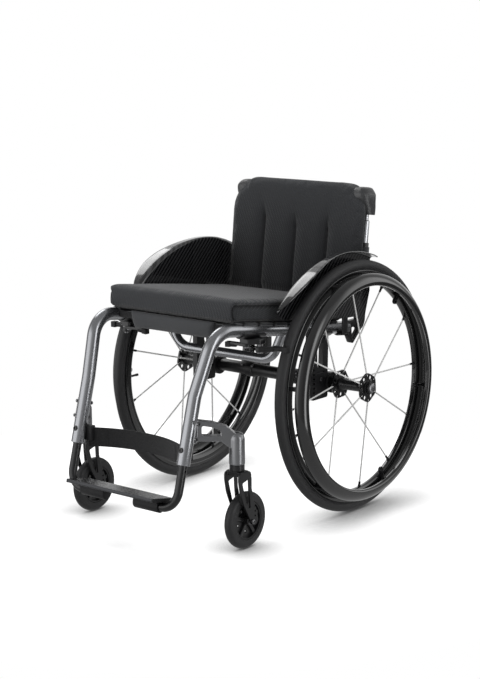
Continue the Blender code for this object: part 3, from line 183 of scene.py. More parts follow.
def swept(path, outline, up=X, loop=False):
    """Carry a flat outline along a path: point = path + side * u + normal * v.

    The normal is the up vector made square to the path at each step."""
    path, outline = np.asarray(path, float), np.asarray(outline, float)
    tangent = unit(np.roll(path, -1, 0) - np.roll(path, 1, 0)) if loop else unit(
        np.gradient(path, axis=0))
    up = np.broadcast_to(up, tangent.shape)
    normal = unit(up - tangent * (up * tangent).sum(1, keepdims=True))
    side = np.cross(tangent, normal)
    points = (path[:, None] + side[:, None] * outline[None, :, :1]
              + normal[:, None] * outline[None, :, 1:])
    return grid(points, loop_u=loop)


def bend_path(points, steps):
    """A polyline of (position, bend radius) with each corner turned to an arc.

    The arc's centre lies on the corner's bisector, and its points come from
    turning the start radius into the end radius at an even rate."""
    path = [np.array(points[0][0], float)]
    for (a, _), (b, r), (c, _) in zip(points, points[1:], points[2:]):
        a, b, c = (np.array(p, float) for p in (a, b, c))
        u, v = unit(a - b), unit(c - b)
        half = math.acos(np.clip(u @ v, -1, 1)) / 2
        centre = b + unit(u + v) * (r / math.sin(half))
        start, end = b + u * r / math.tan(half) - centre, b + v * r / math.tan(half) - centre
        total = math.pi - 2 * half
        t = np.linspace(0, 1, steps + 1)[:, None]
        turning = np.sin((1 - t) * total) * start + np.sin(t * total) * end
        path.extend(centre + turning / math.sin(total))
    path.append(np.array(points[-1][0], float))
    return np.array(path)


def rounded(outline, radius, steps=5):
    """A flat outline with each corner replaced by a quadratic curve."""
    p = np.array(outline, float)
    u, v = np.roll(p, 1, 0) - p, np.roll(p, -1, 0) - p
    lu, lv = np.linalg.norm(u, axis=1), np.linalg.norm(v, axis=1)
    half = np.arccos(np.clip((u * v).sum(1) / (lu * lv), -1, 1)) / 2
    reach = np.minimum(radius / np.tan(half), 0.47 * np.minimum(lu, lv))[:, None]
    a, b = p + u / lu[:, None] * reach, p + v / lv[:, None] * reach
    t = np.linspace(0, 1, steps + 1)[None, :, None]
    curve = a[:, None] * (1 - t) ** 2 + p[:, None] * 2 * t * (1 - t) + b[:, None] * t ** 2
    return curve.reshape(-1, 2)


def oblong(u0, u1, v0, v1, radius):
    """A rectangle with rounded corners."""
    return rounded([(u0, v0), (u1, v0), (u1, v1), (u0, v1)], radius)


def arc(cx, cy, radius, start, end, steps=24):
    """Points of a flat arc, angles in degrees."""
    t = np.radians(np.linspace(start, end, steps + 1))
    return np.stack([cx + radius * np.cos(t), cy + radius * np.sin(t)], -1)


def crescent(outer, inner, start, end, steps=24):
    """Outline of a bent wall that hugs a round tube, angles in degrees."""
    return np.concatenate([arc(0, 0, outer, start, end, steps),
                           arc(0, 0, inner, end, start, steps)])


def slab(outline, low, high, origin=(0, 0, 0), out=X, u=Y, v=Z):
    """A flat outline of (u, v) pairs made thick from low to high along out."""
    outline = np.asarray(outline, float)
    flat = np.concatenate([np.zeros((len(outline), 1)), outline], 1)
    points = np.stack([flat + X * low, flat + X * high])
    return aimed(grid(points), origin, out, u, v)


def seat_slab(outline, low, high, x=0.0):
    """A section of (across, up) pairs drawn along the sloping seat tube."""
    return slab(outline, low, high, (x, 0, SEAT_Z), SEAT_DIR, X, SEAT_UP)


def level_slab(outline, low, high, at=(0, 0, 0)):
    """A plan of (x, y) pairs made thick in height."""
    return slab(outline, low, high, at, Z, X, Y)


# %% [markdown]
# ## From shape to piece
# One function turns a shape into a finished piece. It welds doubled points,
# turns the faces outward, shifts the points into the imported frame, gives the
# piece its finish, and ties it to the body that carries it.

# %% Meshes
def mesh_of(name, shape):
    """Mesh data from a shape, welded and with its faces turned outward."""
    points, faces = shape
    mesh = bpy.data.meshes.new(name)
    corners = np.concatenate([f.ravel() for f in faces]).astype(np.int32)
    sizes = np.concatenate([np.full(len(f), f.shape[1]) for f in faces])
    mesh.vertices.add(len(points))
    mesh.vertices.foreach_set("co", (points + Y * AXLE_Y).astype(np.float32).ravel())
    mesh.loops.add(len(corners))
    mesh.loops.foreach_set("vertex_index", corners)
    mesh.polygons.add(len(sizes))
    starts = np.concatenate([[0], np.cumsum(sizes)[:-1]]).astype(np.int32)
    mesh.polygons.foreach_set("loop_start", starts)
    mesh.update(calc_edges=True)
    bm = bmesh.new()
    bm.from_mesh(mesh)
    bmesh.ops.remove_doubles(bm, verts=bm.verts, dist=2e-6)
    bmesh.ops.recalc_face_normals(bm, faces=bm.faces)
    bm.to_mesh(mesh)
    bm.free()
    return mesh


def placed(name, data):
    """A new object in the scene, from mesh, lamp or camera data."""
    obj = bpy.data.objects.new(name, data)
    scene.collection.objects.link(obj)
    return obj


def settle(obj):
    """Apply every modifier of an object to its mesh."""
    graph = bpy.context.evaluated_depsgraph_get()
    mesh = bpy.data.meshes.new_from_object(obj.evaluated_get(graph))
    obj.modifiers.clear()
    obj.data = mesh


def carve(obj, *shapes):
    """Cut shapes out of an object with an exact Boolean, then remove the cutters."""
    for shape in shapes:
        tool = placed("cutter", mesh_of("cutter", shape))
        cutter = obj.modifiers.new("cut", "BOOLEAN")
        cutter.solver, cutter.operation, cutter.object = "EXACT", "DIFFERENCE", tool
        bpy.context.view_layer.update()
        settle(obj)
        bpy.data.objects.remove(tool)


# %% [markdown]
# A machined or moulded edge is never quite sharp, so a bevel can break each
# edge of a piece. Castings have no sharp inner corners at all: their shapes are
# melted together on a fine voxel grid and smoothed before they are bored.

# %% Piece makers
def smoothed(obj):
    """Shade every face of an object smoothly."""
    obj.data.polygons.foreach_set("use_smooth", np.ones(len(obj.data.polygons), bool))


def mounted(obj, finish, body, slot, replaces, smooth):
    """Finish and mount a shaped object; print its size in millimetres.

    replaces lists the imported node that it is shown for, if any."""
    obj.data.materials.clear()
    obj.data.materials.append(finish)
    smoothed(obj)
    obj.data.set_sharp_from_angle(angle=math.radians(smooth))
    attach(obj, body)
    if replaces:
        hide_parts(*replaces)
    print(obj.name, [round(1000 * s) for s in obj.dimensions], "mm", len(obj.data.polygons),
          "faces")
    return obj


def piece(name, shape, finish, body, slot, replaces=(), bevel=0.0, cuts=(), smooth=34):
    """Make one piece: cut it, break its edges, then finish and mount it."""
    obj = placed(name, mesh_of(name, shape))
    carve(obj, *cuts)
    if bevel:
        edge = obj.modifiers.new("edge", "BEVEL")
        edge.width, edge.segments, edge.limit_method = bevel, 2, "ANGLE"
        edge.angle_limit, edge.harden_normals = math.radians(38), False
        edge.use_clamp_overlap = True
    settle(obj)
    return mounted(obj, finish, body, slot, replaces, smooth)


def casting(name, shapes, finish, body, slot, replaces, voxel, cuts):
    """Shapes grown into one skin on a voxel grid, smoothed three times, then bored."""
    obj = placed(name, mesh_of(name, stack(*shapes)))
    grow = obj.modifiers.new("grow", "REMESH")
    grow.mode, grow.voxel_size = "VOXEL", voxel
    even = obj.modifiers.new("even", "SMOOTH")
    even.factor, even.iterations = 0.5, 3
    settle(obj)
    carve(obj, *cuts)
    return mounted(obj, finish, body, slot, replaces, 40)


# %% [markdown]
# ## Finishes
# Each finish is a Principled shader with textures worked out from the object's
# own coordinates, so it follows the piece through every pose. Fixed values sit
# on the shader's sockets. Noise varies colour and roughness a little, as dust,
# handling and casting do, and a relief gives each surface its own grain.

# %% Shader nodes
def feed(tree, target, values):
    """Give a node's inputs, by name or number, a fixed value or another node's output."""
    for key, value in values.items():
        if isinstance(value, bpy.types.NodeSocket):
            tree.links.new(value, target.inputs[key])
        else:
            target.inputs[key].default_value = value


def node(tree, kind, at=None, **values):
    """Add a node, set its properties, and feed its inputs."""
    new = tree.nodes.new(kind)
    for key in [k for k in values if k not in new.inputs]:
        setattr(new, key, values.pop(key))
    feed(tree, new, {**values, **(at or {})})
    return new


def blend(tree, share, low, high, **how):
    """Colour mixed from low to high as share goes from 0 to 1."""
    return node(tree, "ShaderNodeMix", {0: share, 6: low, 7: high}, data_type="RGBA",
                **how).outputs[2]


def shader_of(name):
    """A new material, its node tree and its Principled shader."""
    mat = bpy.data.materials.new(name)
    mat.use_nodes = True
    return mat, mat.node_tree, mat.node_tree.nodes["Principled BSDF"]


# %% [markdown]
# One function makes every finish. Colour and roughness wander with one cloud of
# noise, and the relief is a height field that tilts the light on the surface.

# %% Finish maker
def relief_field(tree, place, kind, scale):
    """Height of a relief: hide is Voronoi cells, knit crosses two waves, grain is
    fine noise, and brushed is that noise drawn out along x."""
    if kind == "hide":
        return node(tree, "ShaderNodeTexVoronoi", Scale=scale, Vector=place).outputs["Distance"]
    if kind == "knit":
        waves = []
        for turn in (0.785, -0.785):
            way = node(tree, "ShaderNodeMapping", Vector=place, Rotation=(turn, turn, turn))
            waves.append(node(tree, "ShaderNodeTexWave", Scale=scale, Distortion=0.4,
                              Vector=way.outputs["Vector"]).outputs["Fac"])
        return node(tree, "ShaderNodeMath", {0: waves[0], 1: waves[1]},
                    operation="MULTIPLY").outputs[0]
    drawn = (0.05, 1, 1) if kind == "brushed" else (1, 1, 1)
    way = node(tree, "ShaderNodeMapping", Vector=place, Scale=drawn)
    return node(tree, "ShaderNodeTexNoise", Scale=scale, Detail=6.0,
                Vector=way.outputs["Vector"]).outputs["Fac"]


def finish(name, colour, rough, metal=0.0, coat=0.0, sheen=0.0, mottle=(60.0, 0.1), vary=0.06,
           relief=None, specular=0.5):
    """A Principled finish whose colour and roughness wander with noise.

    mottle is (scale, share of the colour), and relief is (kind, scale, height)."""
    mat, tree, shader = shader_of(name)
    place = node(tree, "ShaderNodeTexCoord").outputs["Object"]
    cloud = node(tree, "ShaderNodeTexNoise", Scale=mottle[0], Detail=4.0,
                 Vector=place).outputs["Fac"]
    dark = (*[c * (1 - mottle[1]) for c in colour], 1)
    pale = (*[min(1, c * (1 + mottle[1])) for c in colour], 1)
    spread = node(tree, "ShaderNodeMapRange", {"Value": cloud, "To Min": max(0.02, rough - vary),
                                               "To Max": min(1.0, rough + vary)})
    feed(tree, shader, {
        "Metallic": metal, "Coat Weight": coat, "Coat Roughness": 0.04, "Sheen Weight": sheen,
        "Sheen Roughness": 0.5, "Specular IOR Level": specular,
        "Base Color": blend(tree, cloud, dark, pale), "Roughness": spread.outputs["Result"]})
    if relief:
        kind, scale, height = relief
        bump = node(tree, "ShaderNodeBump", Strength=1.0, Distance=height,
                    Height=relief_field(tree, place, kind, scale))
        feed(tree, shader, {"Normal": bump.outputs["Normal"]})
    mat.diffuse_color = (*colour, 1)
    return mat


def paint_hollow_shade(mat, reach, power):
    """Painted shade in cloth: colour times (open share of the sky) ** power, so hollows are painted
    darker.
    """
    tree = mat.node_tree
    shader = tree.nodes["Principled BSDF"]
    source = shader.inputs["Base Color"].links[0].from_socket
    sky = node(tree, "ShaderNodeAmbientOcclusion", Distance=reach, samples=8).outputs["AO"]
    share = node(tree, "ShaderNodeMath", {0: sky, 1: power}, operation="POWER").outputs[0]
    feed(tree, shader, {"Base Color": blend(tree, share, (0.002, 0.002, 0.002, 1), source)})


# %% [markdown]
# The frame is silver grey metallic paint under clear coat, the small parts are
# satin black, the wheels gloss black with white spokes, the cushions dark grey
# spacer mesh, and the side guards woven carbon under gloss.

# %% The finishes
PAINT = finish("silver grey metallic", (0.30, 0.305, 0.32), 0.24, 0.9, 0.35, mottle=(700.0, 0.05),
               vary=0.03)
CAST = finish("painted casting", (0.22, 0.223, 0.232), 0.30, 0.85, 0.2, mottle=(300.0, 0.08),
              relief=("grain", 900.0, 0.00003))
SATIN = finish("satin black", (0.010, 0.010, 0.011), 0.30, 0.0, 0.1, mottle=(150.0, 0.3),
               relief=("grain", 1200.0, 0.00002), specular=0.4)
GLOSS = finish("gloss black", (0.006, 0.006, 0.0065), 0.16, 0.0, 0.6, mottle=(90.0, 0.2),
               vary=0.03)
PLASTIC = finish("moulded black plastic", (0.014, 0.014, 0.015), 0.5, mottle=(200.0, 0.2),
                 relief=("grain", 1200.0, 0.00006), specular=0.25)
CHROME = finish("polished tube", (0.50, 0.51, 0.53), 0.24, 1.0, mottle=(300.0, 0.05), vary=0.05,
                relief=("grain", 900.0, 0.00001))
SPOKE = finish("white spoke lacquer", (0.93, 0.93, 0.92), 0.3, 0.0, 0.3, mottle=(300.0, 0.04))
STEEL = finish("dark steel", (0.16, 0.16, 0.165), 0.3, 1.0, mottle=(500.0, 0.15))
BUTTON = finish("dark silver button", (0.22, 0.22, 0.23), 0.32, 0.9, mottle=(200.0, 0.15))
RUBBER = finish("tyre rubber", (0.017, 0.017, 0.018), 0.62, mottle=(120.0, 0.25),
                relief=("grain", 900.0, 0.00012))
CASTER_RUBBER = finish("caster rubber", (0.013, 0.013, 0.014), 0.55, mottle=(150.0, 0.25),
                       relief=("grain", 1000.0, 0.0001))
HIDE = finish("grained leatherette", (0.042, 0.043, 0.045), 0.36, mottle=(80.0, 0.25),
              relief=("hide", 600.0, 0.0002))
MESH = finish("spacer mesh", (0.049, 0.051, 0.055), 0.9, sheen=0.25, mottle=(700.0, 0.25),
              relief=("knit", 80.0, 0.0008), specular=0.2)
# Painted shade: the cover's colour darkens where other parts close in, such as the seat, the guards
# and the foot of the back pad.
paint_hollow_shade(MESH, 0.30, 1.4)
DEEP_MESH = finish("border mesh", (0.038, 0.040, 0.043), 0.92, sheen=0.15, mottle=(700.0, 0.25),
                   relief=("knit", 80.0, 0.0008), specular=0.2)
# Painted shade: the side panel's colour darkens in the groove round its seam.
paint_hollow_shade(DEEP_MESH, 0.016, 3.0)
WEBBING = finish("woven webbing", (0.012, 0.012, 0.013), 0.8, sheen=0.2, mottle=(500.0, 0.3),
                 relief=("knit", 320.0, 0.0003), specular=0.3)
SLING = finish("coated sling cloth", (0.058, 0.060, 0.064), 0.7, sheen=0.2, mottle=(400.0, 0.2),
               relief=("knit", 300.0, 0.0002), specular=0.3)
THREAD = finish("sewing thread", (0.010, 0.010, 0.011), 0.85, mottle=(900.0, 0.2))
DARK_ALLOY = finish("dark ribbed alloy", (0.040, 0.041, 0.044), 0.24, 0.85, mottle=(250.0, 0.2),
                    relief=("brushed", 900.0, 0.00004))

# %% [markdown]
# Carbon twill is drawn by two families of tows that cross over two, under two.
# Seen from a step away that makes diagonal stripes, dark where the fibres lie
# across the light. That sheen is painted into the colour here: a banded wave over
# a slanted coordinate gives the painted light and dark stripes, and a finer wave
# across them gives the single tows.

# %% Carbon twill
def carbon():
    """Stripes: 0.5 + 0.5 sin(k (z - y)); tows: the same over (y + z), about seven times finer."""
    mat = finish("carbon twill under gloss", (0.010, 0.010, 0.011), 0.20, 0.0, 1.0, specular=0.4)
    tree = mat.node_tree
    place = node(tree, "ShaderNodeTexCoord").outputs["Object"]
    waves = []
    for scale in ((0.0, -49.0, 49.0), (0.0, 330.0, 330.0)):
        way = node(tree, "ShaderNodeMapping", Vector=place, Scale=scale).outputs["Vector"]
        waves.append(node(tree, "ShaderNodeTexWave", bands_direction="DIAGONAL", Scale=1.0,
                          Vector=way).outputs["Fac"])
    # Painted sheen: the ramp's pale and dark stripes stand in for the weave catching the light.
    ramp = node(tree, "ShaderNodeValToRGB", Fac=waves[0])
    for stop, at, colour in zip(ramp.color_ramp.elements, (0.40, 0.66),
                                ((0.002, 0.002, 0.0025, 1), (0.050, 0.050, 0.053, 1))):
        stop.position, stop.color = at, colour
    tows = blend(tree, 0.35, ramp.outputs["Color"], waves[1], blend_type="MULTIPLY")
    feed(tree, tree.nodes["Principled BSDF"], {"Base Color": tows})
    return mat


CARBON = carbon()
print("finishes", len(bpy.data.materials))

# %% [markdown]
# Most small parts are satin black and most screws dark steel, so each of the
# two finishes has a short maker of its own.

# %% Black pieces and steel screws
def black(name, shape, replaces=(), body="frame", slot="black_metal", **how):
    """A satin black piece, on the frame unless a body is given."""
    return piece(name, shape, SATIN, body, slot, replaces, **how)


def steel(name, *shapes, body="frame", slot="black_metal", smooth=30):
    """Screws, bolts or pins in one dark steel piece."""
    return piece(name, stack(*shapes), STEEL, body, slot, smooth=smooth)


# %% [markdown]
# ## Side frames
# Each side of the frame is one aluminium tube: level under the seat, bent down
# at the front, eased at the knee, and cut square at the foot, where the
# smaller footrest tube slides in. A path with round bends carries a circle.

# %% Side frames
FRONT_BEND, KNEE_BEND, KNEE_Z = 0.0620, 0.1000, 0.3450
SCREW_AIM = (0, -1, 0.28)


def leg_point(side, up):
    """A point on the leg's line, this far above its cut end."""
    return LEG_END + LEG_DIR * up + X * side * LEG_HALF


for label, side in SIDES:
    path = bend_path([
        ((side * SEAT_HALF, SEAT_REAR, seat_z(SEAT_REAR)), 0.0),
        ((side * SEAT_HALF, FRONT_Y, seat_z(FRONT_Y)), FRONT_BEND),
        ((side * LEG_HALF, FRONT_Y - 0.0475, KNEE_Z), KNEE_BEND), (leg_point(side, 0.0), 0.0)], 20)
    bore = peg(-0.01, 0.1325, 0.0102, leg_point(side, 0.0), LEG_DIR, 40)
    piece(f"{label}_side_tube", swept(path, section(TUBE_RADIUS, 48)), PAINT, "frame",
          "frame_paint", [f"{label}_side_frame"], cuts=[bore], bevel=0.0006, smooth=40)
    head = leg_point(side, 0.0315)
    screw = turned([(0.0132, 0.0060), (0.0162, 0.0060), (0.0170, 0.0052)], head, SCREW_AIM, 32)
    black(f"{label}_leg_screw", screw, cuts=[peg(0.0155, 0.0180, 0.0030, head, SCREW_AIM, 6)],
          smooth=30)

# %% [markdown]
# ## Cross tube
# A second tube ties the two sides together under the seat. Its ends bend up
# and are mitred to the side tubes, with a small weld bead round each joint.

# %% Cross tube
CROSS_Y, CROSS_Z = -0.1800, 0.3735
half, top_x, top_z = SEAT_HALF - 0.0370, SEAT_HALF - 0.0005, seat_z(CROSS_Y) + 0.0029
path = bend_path([((-top_x, CROSS_Y, top_z), 0.0), ((-half, CROSS_Y, CROSS_Z), 0.0450),
                  ((half, CROSS_Y, CROSS_Z), 0.0450), ((top_x, CROSS_Y, top_z), 0.0)], 18)
saddles = [peg(-0.03, 0.03, TUBE_RADIUS, (s * SEAT_HALF, CROSS_Y, seat_z(CROSS_Y)), SEAT_DIR, 48)
           for s in (-1, 1)]
piece("cross_bar", swept(path, section(0.0110, 40), up=Y), PAINT, "frame", "frame_paint",
      ["cross_tube"], cuts=saddles, smooth=40)


def weld_ring(side):
    """A bead where the mitre meets the side tube: a wavy ring about the cross tube."""
    t = np.linspace(0, 2 * math.pi, 60, endpoint=False)
    way = unit(np.array([side * (top_x - half), 0.0, top_z - CROSS_Z]))
    across = np.cross(way, Y)
    foot = np.array([side * top_x, CROSS_Y, top_z])
    ring = foot + 0.0112 * (np.outer(np.cos(t), Y) + np.outer(np.sin(t), across))
    away = ring - np.array([side * SEAT_HALF, CROSS_Y, seat_z(CROSS_Y)])
    off = away - np.outer(away @ SEAT_DIR, SEAT_DIR)
    beside = off - np.outer(off @ way, way)
    reach = np.sqrt((TUBE_RADIUS + 0.0004) ** 2 - (beside ** 2).sum(1))
    return ring - np.outer(off @ way + reach, way)


for label, side in SIDES:
    piece(f"{label}_weld", swept(weld_ring(side), section(0.0013, 10), up=Z, loop=True), PAINT,
          "frame", "frame_paint", smooth=60)

# %% [markdown]
# ## Axle tube and brackets
# The black axle tube carries the wheels. Two clamp collars sit on it, and its
# slimmer ends run through the plate brackets.

# %% Axle tube
ends = np.add([(0.0133, 0.0117), (0.0125, 0.0125), (-0.0170, 0.0125), (-0.0170, 0.0144),
               (-0.0176, 0.0150), (-0.0990, 0.0150), (-0.1000, 0.0179), (-0.1006, 0.0185),
               (-0.1204, 0.0185), (-0.1210, 0.0179), (-0.1218, 0.0150)], (SEAT_HALF, 0.0))
black("axle_bar", turned([*(ends * [-1, 1]), *ends[::-1]], (0, 0, AXLE_Z), X, 56), ["axle_tube"],
      smooth=35)
head = screw_head(0.0, 0.0036, 0.0040, 0.0016, 0.0018, (0.0006, 0.0005))
steel("collar_screws", *[turned(head, (s * (SEAT_HALF - dx - 0.009), -0.0150, AXLE_Z + 0.0115),
                                (0.0, -0.6, 0.8), 20) for s in (-1, 1) for dx in (0.0845, 0.1158)])

# %% [markdown]
# Plate brackets hang from the seat tubes and clamp the axle tube in a ring. The
# row of holes lets a fitter raise or lower the axle, and a window saves weight.

# %% Axle brackets
top, low = seat_z(-0.05) - TUBE_RADIUS, AXLE_Z - 0.0310
plate = rounded([(-0.0880, top + 0.004), (-0.0880, low + 0.0140), (-0.0780, low), (-0.0200, low),
                 (-0.0200, low + 0.0460), (-0.0170, top - 0.004)], 0.006)
window = rounded([(-0.0600, AXLE_Z + 0.0450), (-0.0400, AXLE_Z + 0.0450), (-0.0370, top - 0.0220),
                  (-0.0600, top - 0.0220)], 0.005)
slot_mark = oblong(-0.0640, -0.0330, AXLE_Z + 0.0300, AXLE_Z + 0.0345, 0.002)
cuts = [slab(window, -0.3, 0.3), peg(-0.3, 0.3, 0.0130, (0, 0, AXLE_Z), X, 56)]
cuts += [peg(-0.3, 0.3, 0.0032, (0, -0.0730, low + 0.0180 + 0.0107 * k), X) for k in range(6)]
head = screw_head(0.0, 0.0042, 0.0038, 0.0018, 0.0018)
for label, side in SIDES:
    x0, x1 = sorted((side * (SEAT_HALF - 0.0105), side * (SEAT_HALF + 0.0025)))
    r0, r1 = sorted((side * (SEAT_HALF - 0.0120), side * (SEAT_HALF + 0.0040)))
    groove = slab(slot_mark, side * (SEAT_HALF + 0.0005), side * (SEAT_HALF + 0.0040))
    black(f"{label}_bracket_plate", slab(plate, x0, x1), [f"{label}_axle_bracket"], bevel=0.0008,
          cuts=cuts + [groove])
    ring = turned([(r0, 0.0128), (r0, 0.0242), (r0 + 0.0008, 0.0250), (r1 - 0.0008, 0.0250),
                   (r1, 0.0242), (r1, 0.0128)], (0, 0, AXLE_Z), X, 56, ring=True)
    black(f"{label}_axle_ring", ring)
    hanger = seat_slab(crescent(0.0190, TUBE_BORE, -155, -25), -0.0880 / SEAT_DIR[1],
                       -0.0170 / SEAT_DIR[1], side * SEAT_HALF)
    black(f"{label}_tube_saddle", hanger, bevel=0.0006)
    steel(f"{label}_bracket_bolts",
          *[turned(head, (side * (SEAT_HALF + 0.0025), y, z), (side, 0, 0), 24) for y, z in (
              (-0.0300, top - 0.0120), (-0.0740, top - 0.0120), (-0.0480, AXLE_Z + 0.0160))])

# %% [markdown]
# ## Rear wheels
# A wheel is easiest to draw in its own frame: the first number runs out along
# the axle, the next two span the plane of the wheel. One matrix per side then
# leans it by the camber and moves it out to the track.

# %% Wheel frame
SPIN = {1: math.radians(3.0), -1: math.radians(-15.0)}


def wheel_frame(side):
    """Origin and axes of a wheel: out along the cambered axle, then two spokes' directions.

    The last two are rear and up, turned together by how far the wheel has rolled."""
    out = np.array([side * math.cos(CAMBER), 0.0, math.sin(CAMBER)])
    up = np.array([-side * math.sin(CAMBER), 0.0, math.cos(CAMBER)])
    c, s = math.cos(SPIN[side]), math.sin(SPIN[side])
    return np.array([side * TRACK_HALF, 0.0, AXLE_Z]), out, Y * c + up * s, up * c - Y * s


def radial(side, degrees):
    """Direction from the wheel's centre at an angle in its plane."""
    rear, up = wheel_frame(side)[2:]
    return rear * math.cos(math.radians(degrees)) + up * math.sin(math.radians(degrees))


def on_wheel(side, out, degrees, radius):
    """A point of the wheel from its distance out, angle and radius."""
    centre, n = wheel_frame(side)[:2]
    return centre + n * out + radial(side, degrees) * radius


def spun(side, profile, seg, ring=True):
    """A lathed ring of the wheel."""
    return aimed(lathe(profile, seg, ring), *wheel_frame(side))


# %% [markdown]
# The tyre is a slick with a rounded crown and a fine ridge at each shoulder.
# The rim is deep, with a hook at each edge and a narrow bed for the nipples.

# %% Tyres and rims
TYRE_CENTRE = WHEEL_RADIUS - TYRE_HALF
crown = arc(0.0, TYRE_CENTRE, TYRE_HALF, 214, -34, 56)
ridge = 0.0003 * np.exp(-((np.abs(crown[:, 0]) - 0.0090) / 0.0004) ** 2) * (crown[:, 1] > 0.285)
crown = crown - unit(crown - [0.0, TYRE_CENTRE]) * ridge[:, None]
tyre = [*crown, (0.0085, RIM_OUTER - 0.0010), (-0.0085, RIM_OUTER - 0.0010)]
rim_half = np.concatenate([
    np.add([(0.0098, 0.0012), (0.0112, 0.0014), (0.0118, 0.0004), (0.0118, -0.0060),
            (0.0112, -0.0070), (0.0108, -0.0150), (0.0092, -0.0195)], (0, RIM_OUTER)),
    np.add([(0.0062, 0.0016), (0.0030, 0.0002)], (0, RIM_INNER))])
rim = [*rim_half, *(rim_half * [-1, 1])[::-1], (-0.0090, RIM_OUTER - 0.0012),
       (0.0090, RIM_OUTER - 0.0012)]
stem = [(0.0, 0.0038), (0.0030, 0.0038), (0.0032, 0.0028), (0.0200, 0.0026), (0.0204, 0.0033),
        (0.0270, 0.0033), (0.0280, 0.0024)]
for label, side in SIDES:
    body = f"{label}_wheel"
    piece(f"{label}_tyre_skin", spun(side, tyre, 180), RUBBER, body, "tyre_rubber",
          [f"{label}_tyre"], smooth=50)
    piece(f"{label}_rim_skin", spun(side, rim, 180), GLOSS, body, "rim_alloy", [f"{label}_rim"],
          smooth=28)
    valve = turned(stem, on_wheel(side, 0.0, 195, RIM_INNER + 0.0005), -radial(side, 195), 20)
    black(f"{label}_valve", valve, body=body, slot="rim_alloy", smooth=30)

# %% [markdown]
# ## Spokes
# Twelve white spokes run alternately from the outer and the inner flange to
# the rim, straight out from their holes. Each is one slender lathe, slightly
# thicker where it meets the hub, and ends in a black nipple.

# %% Spokes and nipples
FLANGES = ((0.0349, 30.0), (-0.0428, 0.0))
nipple = [(-0.0125, 0.0022), (-0.0118, 0.0027), (-0.0040, 0.0028), (-0.0030, 0.0036), (0.0, 0.0037)]
for label, side in SIDES:
    wires, nipples = [], []
    for out, angle in [(out, phase + 60.0 * k) for out, phase in FLANGES for k in range(6)]:
        foot, tip = on_wheel(side, out, angle, 0.0300), on_wheel(side, 0.0, angle, RIM_INNER)
        length = np.linalg.norm(tip - foot)
        wires.append(turned([(-0.0022, 0.0022), (0.0006, 0.0022), (0.0012, 0.0018),
                             (length - 0.006, 0.0018)], foot, tip - foot, 14))
        nipples.append(turned(np.add(nipple, (length, 0)), foot, tip - foot, 16))
    piece(f"{label}_spokes", stack(*wires), SPOKE, f"{label}_wheel", "hub_alloy", smooth=40)
    black(f"{label}_nipples", stack(*nipples), body=f"{label}_wheel", slot="rim_alloy", smooth=30)

# %% [markdown]
# ## Hub
# The hub has two lobed flanges, with a round window between each pair of
# spokes, on a waisted barrel. The quick release axle runs through it and shows
# as a dark silver button in a black surround.

# %% Hubs
HEAD_OUT, BUTTON_OUT = 0.0408, 0.0468
barrel = [(-0.0515, 0.0066), (-0.0515, 0.0122), (-0.0508, 0.0130), (-0.0450, 0.0132),
          (-0.0380, 0.0150), (-0.0350, 0.0146), (-0.0310, 0.0130), (-0.0250, 0.0122),
          (0.0100, 0.0122), (0.0180, 0.0128), (0.0290, 0.0160), (0.0395, 0.0166),
          (0.0405, 0.0158), (0.0405, 0.0066)]
surround = np.add([(0.0, 0.0063), (0.0, 0.0130), (0.0006, 0.0136), (0.0054, 0.0132),
                   (0.0066, 0.0122), (0.0068, 0.0116), (0.0012, 0.0115)], (HEAD_OUT, 0))
dome = np.add([(0.0, 0.0112), (0.0022, 0.0112), (0.0030, 0.0104), (0.0040, 0.0085),
               (0.0047, 0.0050), (0.0050, 0.0022)], (BUTTON_OUT, 0))


def lobed(phase, radius=0.0345, depth=0.0026, seg=120):
    """Flange outline: radius less a sixfold cosine wave, as (rear, up) pairs."""
    t = np.linspace(0, 2 * math.pi, seg, endpoint=False)
    r = radius - depth * (1 - np.cos(6 * (t - math.radians(phase)))) / 2
    return np.stack([r * np.cos(t), r * np.sin(t)], -1)


for label, side in SIDES:
    centre, n = wheel_frame(side)[:2]
    black(f"{label}_hub_barrel", spun(side, barrel, 56), [f"{label}_wheel_hub"],
          f"{label}_wheel", "hub_alloy")
    for tag, (out, phase) in zip(("outer", "inner"), FLANGES):
        cuts = []
        for k in range(6):
            a = math.radians(phase + 30.0 + 60.0 * k)
            window = section(0.0048, 24) + [0.0248 * math.cos(a), 0.0248 * math.sin(a)]
            cuts.append(slab(window, out - 0.01, out + 0.01, *wheel_frame(side)))
        cuts.append(spun(side, [(out - 0.01, 0.0090), (out + 0.01, 0.0090)], 32, ring=False))
        piece(f"{label}_{tag}_flange",
              slab(lobed(phase), out - 0.0019, out + 0.0019, *wheel_frame(side)), GLOSS,
              f"{label}_wheel", "hub_alloy", bevel=0.0005, cuts=cuts, smooth=30)
    shaft = turned([(-0.1200, 0.0055), (-0.1190, 0.0063), *surround], centre, n, 40)
    black(f"{label}_axle_shaft", shaft, [f"{label}_axle_pin"], slot="bright_tube")
    piece(f"{label}_button", turned(dome, centre, n, 48), BUTTON, f"{label}_button",
          "bright_tube", [f"{label}_release_button"], smooth=50)

# %% [markdown]
# ## Handrims
# The handrim is an oval tube, tipped so that the palm meets its flat side. Six
# lugs join it to the rim, and each ends in a small eye on the inside.

